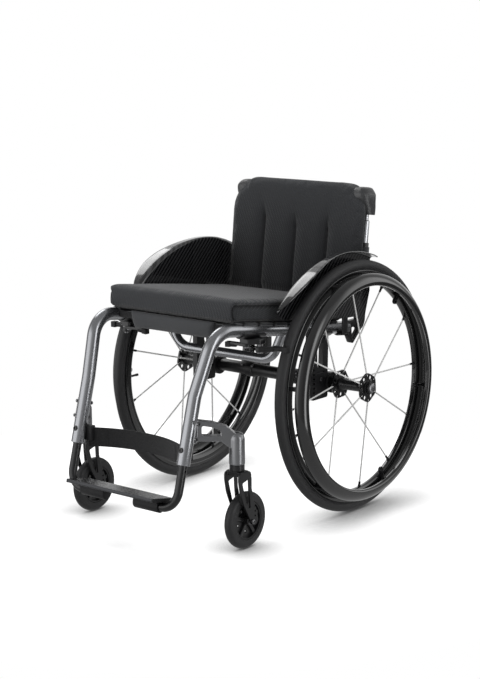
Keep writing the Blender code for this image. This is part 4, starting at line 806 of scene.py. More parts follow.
# %% Handrims and lugs
HANDRIM_OUT, HANDRIM_RADIUS, LUG_PHASE = 0.0370, 0.2520, {1: 48.0, -1: 12.0}
tilt = math.atan2(0.0280, 0.0200)
tipped = [(math.cos(tilt), -math.sin(tilt)), (math.sin(tilt), math.cos(tilt))]
oval = section(0.0165, 40, 0.0095) @ tipped + (HANDRIM_OUT, HANDRIM_RADIUS)
web = oblong(0.0090, 0.0300, -0.0050, 0.0050, 0.002)
neck = rounded([(0.0085, -0.0042), (0.0165, -0.0034), (0.0165, 0.0034), (0.0085, 0.0042)], 0.001)
eye = [(-0.0022, 0.0028), (-0.0028, 0.0034), (-0.0028, 0.0064), (-0.0020, 0.0072),
       (0.0020, 0.0072), (0.0028, 0.0064), (0.0028, 0.0034), (0.0022, 0.0028)]
for label, side in SIDES:
    piece(f"{label}_push_ring", spun(side, oval, 180), GLOSS, f"{label}_wheel",
          "handrim_gloss", [f"{label}_handrim"], smooth=60)
    centre, n = wheel_frame(side)[:2]
    lugs = []
    for k in range(6):
        way = radial(side, LUG_PHASE[side] + 60.0 * k)
        axes = (centre, way, n, np.cross(n, way))
        lugs += [slab(web, 0.2606, 0.2664, *axes), slab(neck, 0.2385, 0.2625, *axes),
                 turned(eye, centre + n * 0.0125 + way * 0.2330, n, 28, ring=True)]
    black(f"{label}_rim_lugs", stack(*lugs), body=f"{label}_wheel", slot="rim_alloy")

# %% [markdown]
# ## Caster arms
# A grey casting is bolted behind each leg and carries the caster barrel. Its arm
# tapers and has one window. Castings have no sharp inner corners, so the
# joined shapes are melted together on a fine voxel grid and smoothed, and only
# then are the bores and the window cut.

# %% Caster arms
LEG_CLAMP = LEG_END + LEG_DIR * ((0.2700 - LEG_END[2]) / LEG_DIR[2]) + X * LEG_HALF
run = np.array([BARREL_X, BARREL_Y, 0.0]) - LEG_CLAMP * [1, 1, 0]
reach = np.linalg.norm(run)
arm_side = [(0.0050, 0.2970), (0.0120, 0.2970), (0.0500, 0.2915), (0.0800, 0.2820),
            (reach, 0.2630), (reach, 0.2300), (0.0850, 0.2350), (0.0700, 0.2480),
            (0.0120, 0.2510), (0.0050, 0.2510)]
arm_window = rounded([(0.0270, 0.2620), (0.0270, 0.2850), (0.0480, 0.2810), (0.0680, 0.2730),
                      (0.0720, 0.2600)], 0.005)
barrel = [(0.1950, 0.0174), (0.2520, 0.0174), (0.2575, 0.0160), (0.2620, 0.0132),
          (0.2655, 0.0085), (0.2674, 0.0030)]
sleeve = [(0.1818, 0.0066), (0.1818, 0.0159), (0.1824, 0.0165), (0.1941, 0.0165),
          (0.1947, 0.0159), (0.1947, 0.0125), (0.2350, 0.0125), (0.2350, 0.0066)]
shell = rounded(crescent(0.0205, 0.0125, -52, 52), 0.0012, 2)
head = screw_head(0.0205, 0.0041, 0.0049, 0.0020, 0.0020, (0.0008, 0.0007))
for label, side in SIDES:
    mirror, hub_at = np.array([side, 1.0, 1.0]), (side * BARREL_X, BARREL_Y, 0.0)
    foot, along = LEG_CLAMP * mirror, unit(run) * mirror
    axes = (foot * [1, 1, 0], np.cross(Z, along), along, Z)
    outward = unit(along - LEG_DIR * (along @ LEG_DIR))
    beside = np.cross(LEG_DIR, outward)
    shapes = [slab(arm_side, -0.0108, 0.0108, *axes),
              slab(shell, -0.0215, 0.0285, foot, LEG_DIR, outward, beside),
              turned(barrel, hub_at, Z, 56)]
    cuts = [peg(-0.06, 0.06, TUBE_BORE, foot, LEG_DIR, 56), peg(0.18, 0.25, 0.0128, hub_at, Z, 48),
            slab(arm_window, -0.03, 0.03, *axes)]
    casting(f"{label}_caster_casting", shapes, CAST, "frame", "cast_arm",
            [f"{label}_caster_arm"], 0.0011, cuts)
    steel(f"{label}_clamp_bolts",
          *[turned(head, foot + LEG_DIR * up, outward + beside * q, 24)
            for up in (-0.0130, 0.0200) for q in (-0.95, 0.95)], slot="cast_arm")
    black(f"{label}_stem_bearing", turned(sleeve, hub_at, Z, 56, ring=True),
          [f"{label}_caster_sleeve"])

# %% [markdown]
# ## Caster forks
# Each fork is a crown with two raked blades. Long windows lighten the blades,
# and a row of holes behind them gives the choice of axle height.

# %% Caster forks
blade = rounded(np.add([
    (0.0190, 0.1790), (0.0230, 0.1700), (0.0240, 0.1376), (0.0303, 0.1112), (0.0404, 0.0862),
    (0.0454, 0.0623), (0.0390, 0.0545), (0.0300, 0.0530), (0.0161, 0.0717), (-0.0007, 0.1006),
    (-0.0139, 0.1328), (-0.0190, 0.1600), (-0.0190, 0.1790)], (BARREL_Y, 0)), 0.0080, 6)
fork_window = rounded(np.add([
    (0.0140, 0.1620), (-0.0085, 0.1560), (0.0040, 0.1112), (0.0130, 0.0960), (0.0190, 0.0960),
    (0.0150, 0.1376)], (BARREL_Y, 0)), 0.0040)
crown_plan = oblong(-0.0222, 0.0222, -0.0130, 0.0150, 0.0050) * 0.985
stem = [(0.1750, 0.0060), (0.2380, 0.0060), (0.2380, 0.0092), (0.2388, 0.0100), (0.2452, 0.0100),
        (0.2460, 0.0092)]
CASTER_HUB = np.array([BARREL_X, BARREL_Y + TRAIL, CASTER_RADIUS])
for label, side in SIDES:
    c, body = side * BARREL_X, f"{label}_caster"
    shapes = [slab(blade, 0.0175, 0.0217, (c, 0, 0)), slab(blade, -0.0217, -0.0175, (c, 0, 0)),
              level_slab(crown_plan, 0.1700, 0.1808, (c, BARREL_Y, 0.0))]
    cuts = [slab(fork_window, -0.04, 0.04, (c, 0, 0))]
    cuts += [peg(-0.04, 0.04, 0.0022, (c, BARREL_Y + 0.0345, z), X, 18)
             for z in (0.0969, 0.0853, 0.0748)]
    cuts.append(peg(-0.04, 0.04, 0.0034, CASTER_HUB * [side, 1, 1], X, 24))
    casting(f"{label}_fork_casting", shapes, SATIN, body, "black_metal",
            [f"{label}_caster_fork"], 0.0010, cuts)
    steel(f"{label}_stem", turned(stem, (c, BARREL_Y, 0.0), Z, 32), body=body, smooth=34)

# %% [markdown]
# ## Caster wheels
# A five-armed hub carries a solid tyre with a shallow crown. Two sealed
# bearings close the hub, and a bolt with domed heads runs through the fork.

# %% Caster wheels
arm = rounded([(-0.0030, 0.0060), (0.0030, 0.0060), (0.0044, 0.0418), (-0.0044, 0.0418)], 0.001)
core = [(-0.0160, 0.0092), (-0.0152, 0.0100), (0.0152, 0.0100), (0.0160, 0.0092)]
band = [(-0.0100, 0.0398), (-0.0100, 0.0424), (-0.0094, 0.0430), (0.0094, 0.0430),
        (0.0100, 0.0424), (0.0100, 0.0398), (0.0060, 0.0388), (-0.0060, 0.0388)]
t = np.radians(np.linspace(-90, 90, 15))
tread = np.stack([0.0110 * np.sin(t), CASTER_RADIUS - 0.0110 + 0.0110 * np.cos(t) ** 0.8], -1)
tread = [(-0.0104, 0.0433), (-0.0110, 0.0440), *tread, (0.0110, 0.0440), (0.0104, 0.0433)]
bolt_half = np.array([(0.0266, 0.0026), (0.0262, 0.0040), (0.0250, 0.0052), (0.0230, 0.0055),
                      (0.0223, 0.0055), (0.0223, 0.0030)])


def fifth(k):
    """Direction of the k-th fifth of a turn in a caster's plane, from straight up."""
    a = 2 * math.pi * k / 5
    return np.array([0.0, -math.sin(a), math.cos(a)])


for label, side in SIDES:
    c, body = CASTER_HUB * [side, 1, 1], f"{label}_caster_wheel"
    moulded = {"body": body, "slot": "black_plastic"}
    arms = [slab(arm, -0.0075, 0.0075, c, X, np.cross(fifth(k), X), fifth(k)) for k in range(5)]
    eyes = [peg(-0.02, 0.02, 0.0034, c + 0.0262 * fifth(k + 0.5), X) for k in range(5)]
    black(f"{label}_hub_web", peg(-0.0022, 0.0022, 0.0405, c, X, 72), cuts=eyes, smooth=30,
          **moulded)
    black(f"{label}_hub_arms", stack(turned(core, c, X, 40), *arms), [f"{label}_caster_hub"],
          bevel=0.0007, **moulded)
    black(f"{label}_hub_band", turned(band, c, X, 72, ring=True), **moulded)
    steel(f"{label}_bearing_shields",
          *[turned([(d * 0.0160, 0.0040), (d * 0.0160, 0.0078), (d * 0.0166, 0.0078),
                    (d * 0.0166, 0.0040)], c, X, 32, ring=True) for d in (-1, 1)], body=body)
    piece(f"{label}_small_tyre", turned(tread, c, X, 96, ring=True), CASTER_RUBBER, body,
          "caster_rubber", [f"{label}_caster_tyre"], smooth=40)
    piece(f"{label}_axle_bolt", turned([*(bolt_half * [-1, 1]), *bolt_half[::-1]], c, X, 36),
          STEEL, f"{label}_caster", "bright_tube", [f"{label}_caster_bolt"],
          cuts=[peg(d * 0.0252, d * 0.03, 0.0021, c, X, 6) for d in (-1, 1)])

# %% [markdown]
# ## Footrest
# Two slim tubes slide up into the legs and turn inward under the plate. Two
# cross holes in each take the screw that sets the height.

# %% Footrest tubes
for label, side in SIDES:
    end = leg_point(side, 0.0)
    path = bend_path([(end + LEG_DIR * 0.0950, 0.0), ((side * LEG_HALF, FOOT_Y, FOOT_Z), 0.0400),
                      ((side * (LEG_HALF - 0.0990), FOOT_Y, FOOT_Z), 0.0)], 20)
    holes = [peg(-0.03, 0.03, 0.0025, end - LEG_DIR * (0.0120 + 0.0160 * k), X) for k in range(2)]
    black(f"{label}_foot_tube", swept(path, section(0.0098, 40), up=Y),
          [f"{label}_footrest_tube"], "footrest", cuts=holes, smooth=40)

# %% [markdown]
# The plate is a ribbed alloy extrusion on two clamps, tipped up toward the
# toes. One flat outline, drawn long, gives the ribs that keep a shoe from
# slipping.

# %% Footplate and clamps
PLATE_HALF, PLATE_AHEAD, PLATE_DEPTH, RAISE, THICK, RIBS = (
    0.1270, 0.0450, 0.0725, 0.0130, 0.0080, 9)
PLATE_AXES = (np.array([0.0, FOOT_Y, FOOT_Z]), X, PLATE_FRONT, PLATE_UP)
pitch, top, back = PLATE_DEPTH / RIBS, RAISE + THICK, PLATE_AHEAD - PLATE_DEPTH
outline = [(back, RAISE + 0.0015), (back + 0.0003, RAISE + 0.0006), (back + 0.0015, RAISE),
           (PLATE_AHEAD - 0.0015, RAISE), (PLATE_AHEAD - 0.0003, RAISE + 0.0006),
           (PLATE_AHEAD, RAISE + 0.0015), (PLATE_AHEAD, top - 0.0010),
           (PLATE_AHEAD - 0.0003, top - 0.0003)]
for k in range(RIBS):
    a = PLATE_AHEAD - k * pitch
    outline += [(a - 0.0009, top), (a - pitch * 0.58, top), (a - pitch * 0.64, top - 0.0003)]
    if k < RIBS - 1:
        outline += [(a - pitch * share, top - deep) for share, deep in (
            (0.66, 0.0015), (0.70, 0.0018), (0.90, 0.0018), (0.94, 0.0015), (0.96, 0.0003))]
outline += [(back, top - 0.0010)]
piece("ribbed_plate", slab(outline, -PLATE_HALF, PLATE_HALF, *PLATE_AXES), DARK_ALLOY,
      "footplate_body", "plate_alloy", ["footplate"])
cover = oblong(back - 0.0002, PLATE_AHEAD + 0.0002, RAISE - 0.0004, top + 0.0002, 0.0016)
caps = [slab(cover, s * PLATE_HALF, s * (PLATE_HALF + 0.0028), *PLATE_AXES) for s in (-1, 1)]
piece("plate_end_caps", stack(*caps), PLASTIC, "footplate_body", "black_plastic", bevel=0.0007)
ring = np.concatenate([arc(0, 0, 0.0135, 0, -180, 24), np.add([
    (-0.0135, -0.0050), (-0.0220, -0.0038), (-0.0220, -0.0003), (0.0220, -0.0003),
    (0.0220, -0.0038), (0.0135, -0.0050)], (0, RAISE))])
for label, side in SIDES:
    x0, x1 = sorted((side * (LEG_HALF - 0.1140), side * (LEG_HALF - 0.0425)))
    bore = peg(0.0, 0.1, 0.0101, (side * (LEG_HALF - 0.1090), FOOT_Y, FOOT_Z), (side, 0, 0), 40)
    piece(f"{label}_plate_clamp", slab(ring, x0, x1, *PLATE_AXES), PLASTIC, "footplate_body",
          "black_metal", [f"{label}_footplate_clamp"], bevel=0.0008, cuts=[bore])

# %% [markdown]
# ## Calf strap
# A black webbing strap spans the legs behind the calves. It runs back in a
# shallow curve and loops through a plastic mount on each leg. Its weave is a
# fine relief in the webbing finish, and rows of stitches close each loop.

# %% Calf strap
STRAP_Y, STRAP_Z, BELT_HALF = LEG_END[1] + 0.0198, LEG_END[2] + 0.0125, 0.1380


def belt_y(share):
    """The belt's shallow curve, where share is how far out from the middle."""
    return STRAP_Y + 0.0392 - 0.0370 * np.abs(share) ** 2.2


t = np.linspace(-1, 1, 73)
belt = np.concatenate([[(-0.1435, STRAP_Y, STRAP_Z)],
                       np.stack([BELT_HALF * t, belt_y(t), 0 * t + STRAP_Z], -1),
                       [(0.1435, STRAP_Y, STRAP_Z)]])
edge = np.linspace(-0.0220, 0.0220, 23)
rib = 0.00012 * np.sin(edge * 2 * math.pi / 0.0075)
tape = np.concatenate([np.stack([0.0008 + rib, edge], -1),
                       np.stack([-0.0008 + rib, edge], -1)[::-1]])
strap = piece("calf_webbing", swept(belt, tape, up=Z), WEBBING, "frame", "webbing",
              ["calf_strap"], smooth=50)

# %% [markdown]
# Stitches hold each loop closed. A stitch shows as a short thread, thinner
# where it dives into the cloth. The mounts are plain blocks, bored for the leg
# and slit for the tape.

# %% Stitches and strap mounts
def stitches(path, normal, length=0.0026, gap=0.0012, wide=0.00045):
    """Short threads laid along a path: one small six-sided grain for each stitch."""
    path, normal = np.asarray(path, float), np.broadcast_to(normal, np.shape(path))
    steps = np.concatenate([[0], np.cumsum(np.linalg.norm(np.diff(path, axis=0), axis=1))])
    starts = np.arange(0, steps[-1] - length, length + gap)

    def along(s, rows):
        """Rows given at the path's points, read off at distances s."""
        return np.stack([np.interp(s, steps, rows[:, k]) for k in range(3)], -1)

    a, b, up = along(starts, path), along(starts + length, path), along(starts + length / 2, normal)
    way, up = unit(b - a), unit(up)
    side = np.cross(way, up)
    turn = np.linspace(0, 2 * math.pi, 6, endpoint=False)[:, None]
    ring = (side[:, None] * np.cos(turn) + up[:, None] * np.sin(turn)) * wide
    parts = [(a + (b - a) * share)[:, None] + ring * k + up[:, None] * wide * (k - 0.6)
             for share, k in ((0.0, 0.35), (0.25, 1.0), (0.75, 1.0), (1.0, 0.35))]
    return stack(*[grid(p) for p in np.stack(parts, 1)])


rows = []
for s in (-1, 1):
    for x in (0.1010, 0.1060):
        y = belt_y(x / BELT_HALF) - 0.0011
        rows.append(stitches([(s * x, y, STRAP_Z - 0.0190), (s * x, y, STRAP_Z + 0.0190)], -Y))
piece("strap_stitches", stack(*rows), THREAD, "frame", "webbing", smooth=60)
slot_section = [(-0.0014, -0.0300), (0.0014, -0.0300), (0.0014, 0.0223), (-0.0014, 0.0223)]
for label, side in SIDES:
    x0, x1 = sorted((side * (LEG_HALF - 0.0290), side * (LEG_HALF + 0.0030)))
    plan = rounded([(x0, STRAP_Y - 0.0048), (x0, STRAP_Y + 0.0112), (x1, STRAP_Y + 0.0112),
                    (x1, STRAP_Y - 0.0048)], 0.0042)
    slit = swept(belt[belt[:, 0] * side > 0.09], slot_section, up=Z)
    piece(f"{label}_strap_loop", level_slab(plan, STRAP_Z - 0.0075, STRAP_Z + 0.0255), PLASTIC,
          "frame", "black_plastic", [f"{label}_strap_mount"], bevel=0.0008,
          cuts=[peg(-0.05, 0.10, TUBE_BORE, leg_point(side, 0.0), LEG_DIR, 40), slit])

# %% [markdown]
# ## Side guards
# A guard is one moulded carbon panel. It stands beside the seat tube and turns
# outward over the tyre as a fender. Stations around the wheel give the lower
# edge, the angle and the clearance, and a smooth curve joins the stations.

# %% Side guards
GUARD_X, GUARD_THICK = 0.2095, 0.0025
# y and z of the lower edge, angle round the wheel, clearance and width of the flare
stations = np.array([
    (-0.2558, 0.5016, 139.5, 0.0340, 0.45), (-0.2280, 0.4824, 135.0, 0.0340, 1.05),
    (-0.1840, seat_z(-0.184) + 0.0270, 126.0, 0.0315, 1.55),
    (-0.1380, seat_z(-0.138) + 0.0270, 117.0, 0.0280, 1.50),
    (-0.0900, seat_z(-0.090) + 0.0270, 108.0, 0.0245, 1.15),
    (-0.0400, seat_z(-0.040) + 0.0270, 99.0, 0.0215, 0.85),
    (0.0070, seat_z(0.007) + 0.0270, 90.0, 0.0195, 0.75),
    (0.0500, seat_z(0.050) + 0.0270, 81.0, 0.0180, 0.82),
    (0.0680, seat_z(0.068) + 0.0014, 77.5, 0.0170, 0.92),
    (0.0820, seat_z(0.082) + 0.0172, 74.5, 0.0165, 0.98),
    (0.0860, seat_z(0.086) + 0.0398, 73.0, 0.0160, 1.00),
    (0.1020, seat_z(0.102) + 0.0919, 70.0, 0.0150, 0.90)])


def smooth_curve(rows, per):
    """Catmull-Rom through the rows: each span is a cubic that leaves along its neighbours."""
    p = np.concatenate([[2 * rows[0] - rows[1]], rows, [2 * rows[-1] - rows[-2]]])
    t = (np.arange(per) / per)[None, :, None]
    a, b, c, d = (p[k:len(p) - 3 + k][:, None] for k in range(4))
    curve = 0.5 * (2 * b + (c - a) * t + (2 * a - 5 * b + 4 * c - d) * t ** 2
                   + (3 * b - a - 3 * c + d) * t ** 3)
    return np.concatenate([curve.reshape(-1, rows.shape[1]), rows[-1:]])


fine = smooth_curve(stations, 9)
quarter = arc(0, 0, 1.0, 180, 90, 8)
flare_out = quarter * (0.0100, 0.0085) + (0.0100, -0.0085)
flare_in = quarter * (0.0076, 0.0061) + (0.0100, -0.0085)
lip = arc(0.0243, -0.00125, 0.00125, 90, -90, 4)
skirt = np.concatenate([flare_out, np.linspace(flare_out[-1], lip[0], 5)[1:-1], lip,
                        np.linspace(lip[-1], flare_in[-1], 5)[1:-1], flare_in[::-1]])


def guard(side):
    """Grid of stations by section: a lower edge, then a flare measured from the tyre."""
    a = np.radians(fine[:, 2])
    d = np.stack([0 * a, np.cos(a), np.sin(a)], -1)
    low = np.stack([0 * a, fine[:, 0], fine[:, 1]], -1)
    over = (WHEEL_RADIUS + fine[:, 3])[:, None, None] + skirt[None, :, 1:]
    reach = np.maximum(skirt[None, :, :1], 0) * fine[:, None, 4:]
    flare = Z * AXLE_Z + d[:, None] * over + X * (GUARD_X + reach)
    panel = np.linspace(0, 1, 12)[None, :-1, None]
    inner, outer = low + X * GUARD_X, low + X * (GUARD_X + GUARD_THICK)
    up = inner[:, None] * (1 - panel) + flare[:, :1] * panel
    down = flare[:, -1:] * (1 - panel) + outer[:, None] * panel
    return grid(np.concatenate([up, flare, down[:, 1:], outer[:, None]], 1) * [side, 1, 1])


for label, side in SIDES:
    piece(f"{label}_guard_shell", guard(side), CARBON, "frame", "guard_shell",
          [f"{label}_side_guard"], smooth=28)
    feet, tube_x = [], SEAT_HALF + TUBE_BORE
    for y in (-0.1400, 0.0080):
        foot = np.add([(tube_x, -0.0120), (GUARD_X + 0.0005, -0.0120), (GUARD_X + 0.0005, 0.0580),
                       (GUARD_X - 0.0032, 0.0580), (GUARD_X - 0.0032, -0.0020),
                       (tube_x, -0.0020)], (0, seat_z(y)))
        feet.append(slab(rounded(foot * [side, 1], 0.002), y - 0.0100, y + 0.0100, out=Y, u=X, v=Z))
    black(f"{label}_guard_feet", stack(*feet), bevel=0.0006)

# %% [markdown]
# ## Back hinges and canes
# A plate with a triangular loop closes each seat tube at the rear and carries
# the hinge. A post stands on it with two cheeks, and the cane folds on a bolt
# between them.

# %% Back brackets
PIVOT_Z, BACK_TOP_Z, BACK_LOW_Z, CANE_RADIUS = 0.4780, 0.7520, 0.4740, 0.0110
CANE_TOP_Z = PIVOT_Z + 0.4890 * (BACK_TOP_Z - PIVOT_Z)
z_rear = seat_z(SEAT_REAR)
hinge_plate = rounded([(0.0567, z_rear + 0.0150), (0.0567, z_rear - 0.0185), (0.0680, 0.3800),
                       (0.0760, 0.3770), (0.1150, 0.4120), (0.1150, 0.4260), (0.0900, 0.4340)],
                      0.0055)
hinge_loop = rounded([(0.0720, 0.3880), (0.0760, 0.3860), (0.1010, 0.4100), (0.0700, 0.4180)],
                     0.0042)
cheek = np.concatenate([arc(0, 0, 0.0090, 0, 180), [(-0.0090, -0.0200), (0.0090, -0.0200)]])
post = [(0.0, 0.0110), (0.0390, 0.0110), (0.0430, 0.0106), (0.0434, 0.0)]


def cane_frame(side):
    """Origin and axes on a cane's hinge: across, forward, and up along it."""
    return cane_point(PIVOT_Z) + X * side * SEAT_HALF, X, CANE_FRONT, CANE_DIR


for label, side in SIDES:
    c, axes = side * SEAT_HALF, cane_frame(side)
    black(f"{label}_hinge_plate", slab(hinge_plate, c - 0.0065, c + 0.0065),
          [f"{label}_back_bracket"], bevel=0.0014, cuts=[slab(hinge_loop, -0.3, 0.3)])
    middle = -90 - 40 * side
    shell = seat_slab(crescent(0.0190, TUBE_BORE, middle - 50, middle + 50),
                      0.0220 / SEAT_DIR[1], 0.0565 / SEAT_DIR[1], c)
    plug = turned([(-0.0020, 0.0142), (0.0008, 0.0142), (0.0018, 0.0130)], (c, SEAT_REAR, z_rear),
                  SEAT_DIR, 48)
    black(f"{label}_cradle", stack(shell, plug), bevel=0.0005)
    cheeks = [slab(cheek, a, b, *axes) for a, b in ((-0.0095, -0.0047), (0.0047, 0.0095))]
    black(f"{label}_hinge_post",
          stack(turned(post, cane_point(CANE_FOOT_Z) + X * c, CANE_DIR, 40), *cheeks), bevel=0.0006)
    heads = [turned(screw_head(0.0090, 0.0058, 0.0030, 0.0026, 0.0014), axes[0], (d, 0, 0), 28)
             for d in (-1, 1)]
    low_bolt = turned(screw_head(0.0060, 0.0052, 0.0032, 0.0024, 0.0014), (c, 0.0960, 0.4240),
                      (side, 0, 0), 28)
    steel(f"{label}_hinge_bolts", peg(-0.0094, 0.0094, 0.0040, axes[0], X, 24), low_bolt, *heads)

# %% [markdown]
# The cane is a black tube, and inside it a bright tube with a thinner rod
# slides up to set the back height. A grained leatherette hood covers the rod at
# the cushion's upper corner. It is drawn level by level, with small folds.

# %% Canes, tubes and hoods
# height as a share of the pad, inner x, outer x, rear and front measured from the cane
HOOD = np.array([
    (0.737, 0.1690, 0.1940, -0.0100, 0.0170), (0.735, 0.1660, 0.1972, -0.0120, 0.0195),
    (0.740, 0.1645, 0.1985, -0.0130, 0.0215), (0.760, 0.1630, 0.1990, -0.0135, 0.0250),
    (0.800, 0.1600, 0.1995, -0.0140, 0.0300), (0.840, 0.1540, 0.2000, -0.0140, 0.0390),
    (0.880, 0.1500, 0.2000, -0.0140, 0.0440), (0.910, 0.1500, 0.1985, -0.0140, 0.0440),
    (0.935, 0.1520, 0.1930, -0.0135, 0.0410), (0.952, 0.1560, 0.1880, -0.0125, 0.0360),
    (0.962, 0.1600, 0.1830, -0.0100, 0.0270), (0.966, 0.1660, 0.1770, -0.0040, 0.0140)])
top, shoulder, rod_top = ((z - PIVOT_Z) / CANE_DIR[2]
                          for z in (CANE_TOP_Z, BACK_TOP_Z - 0.0870, BACK_TOP_Z - 0.0270))
wall = [(0.0130, 0.0088), (0.0142, 0.0106), (0.0150, CANE_RADIUS), (top - 0.0012, CANE_RADIUS),
        (top, 0.0102), (top, 0.0088), (top - 0.0100, 0.0088)]
slim = [(top - 0.0390, 0.0085), (shoulder - 0.0022, 0.0085), (shoulder - 0.0012, 0.0082),
        (shoulder, 0.0068), (shoulder, 0.0055), (rod_top, 0.0055)]
tongue = np.concatenate([arc(0, 0, 0.0088, 180, 360), [(0.0088, 0.0200), (-0.0088, 0.0200)]])
levels = smooth_curve(HOOD, 4)[:, :, None]
t = np.linspace(0, 2 * math.pi, 72, endpoint=False)
swell = np.stack([np.cos(t), np.sin(t)])
swell = np.sign(swell) * np.abs(swell) ** 0.75 / 2
hood_x, hood_f = ((levels[:, k + 1] + levels[:, k]) / 2
                  + (levels[:, k + 1] - levels[:, k]) * swell[k // 2] for k in (1, 3))
hood_f = hood_f + 0.0007 * np.sin(5 * t + 30 * levels[:, 0]) * np.clip(
    (levels[:, 0] - 0.80) / 0.1, 0, 1)
spine = np.stack([cane_point(BACK_TOP_Z - (1 - share) * (BACK_TOP_Z - BACK_LOW_Z))
                  for share in levels[:, 0, 0]])
for label, side in SIDES:
    axes = cane_frame(side)
    black(f"{label}_cane_tube", turned(wall, axes[0], CANE_DIR, 48), [f"{label}_back_cane"], "back")
    black(f"{label}_cane_tongue", slab(tongue, -0.0043, 0.0043, *axes), body="back",
          bevel=0.0005, cuts=[peg(-0.02, 0.02, 0.0044, axes[0], X, 24)])
    piece(f"{label}_height_tube", turned(slim, axes[0], CANE_DIR, 48), CHROME, "back",
          "bright_tube", [f"{label}_back_tube"])
    hood = spine[:, None] + side * hood_x[..., None] * X + hood_f[..., None] * CANE_FRONT
    piece(f"{label}_hood", grid(hood), HIDE, "back", "cap_leather", [f"{label}_back_cap"],
          smooth=60)

# %% [markdown]
# ## Wheel locks
# A half clamp under each seat tube carries a swinging arm with the shoe, a
# round bar that bites the tyre, and the lever that closes it. The whole lock
# stays below the tube, out of the way of the thighs.

# %% Wheel locks
SHOE_LIFT = SEAT_Z + 0.0015 - AXLE_Z
TYRE_FRONT = -math.sqrt(WHEEL_RADIUS ** 2 - SHOE_LIFT ** 2)
ARM = np.array([SEAT_HALF + 0.0230, TYRE_FRONT - 0.0362])
LEVER = np.array([SEAT_HALF, ARM[1] - 0.0150])
BRAKE_TOP = seat_z(ARM[1]) - 0.0208
block = [(SEAT_HALF - 0.0120, ARM[1] - 0.0280), (SEAT_HALF + 0.0130, ARM[1] - 0.0280),
         (SEAT_HALF + 0.0340, ARM[1] - 0.0100), (SEAT_HALF + 0.0340, ARM[1] + 0.0120),
         (SEAT_HALF - 0.0120, ARM[1] + 0.0200)]
arm_plan = ARM + np.concatenate([arc(0, 0, 0.0085, 110, 330), [
    (0.0260, 0.0165), (0.0300, 0.0230), (0.0240, 0.0265)]])
lever_plan = LEVER + np.concatenate([arc(0, 0, 0.0085, -90, 90), [
    (-0.0260, 0.0060), (-0.0520, 0.0050), (-0.0580, 0.0), (-0.0520, -0.0050), (-0.0260, -0.0060)]])
cap, knob = (oblong(-0.0086, 0.0056, -0.0068, 0.0068, 0.0016),
             oblong(-0.0068, 0.0068, -0.0062, 0.0062, 0.0018))
for label, side in SIDES:
    c, flip = side * SEAT_HALF, np.array([side, 1.0])

    def at(plan_point, drop):
        """A point of the lock from its plan and its distance below the clamp's top."""
        return np.array([side * plan_point[0], plan_point[1], BRAKE_TOP - drop])

    shell = seat_slab(crescent(0.0190, TUBE_BORE, -160, -20), (ARM[1] - 0.0400) / SEAT_DIR[1],
                      (ARM[1] + 0.0350) / SEAT_DIR[1], c)
    black(f"{label}_lock_clamp", shell, [f"{label}_brake_clamp"], bevel=0.0006)
    black(f"{label}_lock_plate", level_slab(rounded(block * flip, 0.0060), BRAKE_TOP - 0.0060,
                                            BRAKE_TOP + 0.0060), bevel=0.0012,
          cuts=[peg(-0.4, 0.0, TUBE_BORE, (c, 0, SEAT_Z), SEAT_DIR, 48)])
    pins = [turned([(0.0, 0.0030), (deep, 0.0030),
                    *screw_head(deep, 0.0052, 0.0030, 0.0022, 0.0016)], at(p, 0.0050), -Z, 28)
            for p, deep in ((ARM, 0.0205), (LEVER, 0.0088))]
    steel(f"{label}_lock_pins", *pins)
    arm_hole, lever_hole = (peg(-0.03, 0.03, 0.0034, at(p, 0.0150), Z, 28) for p in (ARM, LEVER))
    black(f"{label}_shoe_arm", level_slab(arm_plan * flip, BRAKE_TOP - 0.0250, BRAKE_TOP - 0.0137),
          [f"{label}_brake_arm"], f"{label}_brake_arm_body", bevel=0.0010, cuts=[arm_hole])
    shoe = at(ARM + [0.0244, 0.0220], 0.0170)
    bar = turned([(0.0, 0.0050), (0.0010, 0.0060), (0.0280, 0.0060)], shoe, (side, 0, 0), 40)
    piece(f"{label}_shoe_bar", stack(bar, slab(cap, 0.0270 * side, 0.0396 * side, shoe)),
          PLASTIC, f"{label}_brake_arm_body", "black_metal", bevel=0.0006)
    black(f"{label}_lock_lever",
          level_slab(lever_plan * flip, BRAKE_TOP - 0.0132, BRAKE_TOP - 0.0068),
          [f"{label}_brake_lever"], f"{label}_brake_lever_body", bevel=0.0010, cuts=[lever_hole])
    a, b = at(LEVER - [0.0300, 0.0], 0.0120), at(LEVER - [0.0560, 0.0], 0.0140)
    grip = turned([(0.0, 0.0050), (0.0012, 0.0060), (0.0180, 0.0060)], a, b - a, 32)
    end = slab(knob, 0.0150, np.linalg.norm(b - a) + 0.0015, a, unit(b - a), Y, Z)
    piece(f"{label}_lever_grip", stack(grip, end), PLASTIC, f"{label}_brake_lever_body",
          "black_plastic", bevel=0.0006)

# %% [markdown]
# ## Slings
# Tight slings span the seat tubes and the back canes. Each is a thin closed
# strip whose section runs over one tube, across, and over the other. Small
# hooks along the seat's edges hold the cloth to the tubes.

# %% Seat sling
SLING_LIFT, SLING_FLAT = 0.0080, SEAT_HALF - 0.0370
near, far = (FRONT_Y + 0.0630) / SEAT_DIR[1], 0.0100 / SEAT_DIR[1]


def over_tubes(radius, high):
    """Section of the seat sling's upper or lower face, from the left tube's side to the right's."""
    return np.concatenate([arc(-SEAT_HALF, 0, radius, 122, 20, 16),
                           [(-SLING_FLAT, high), (SLING_FLAT, high)],
                           arc(SEAT_HALF, 0, radius, 160, 58, 16)])


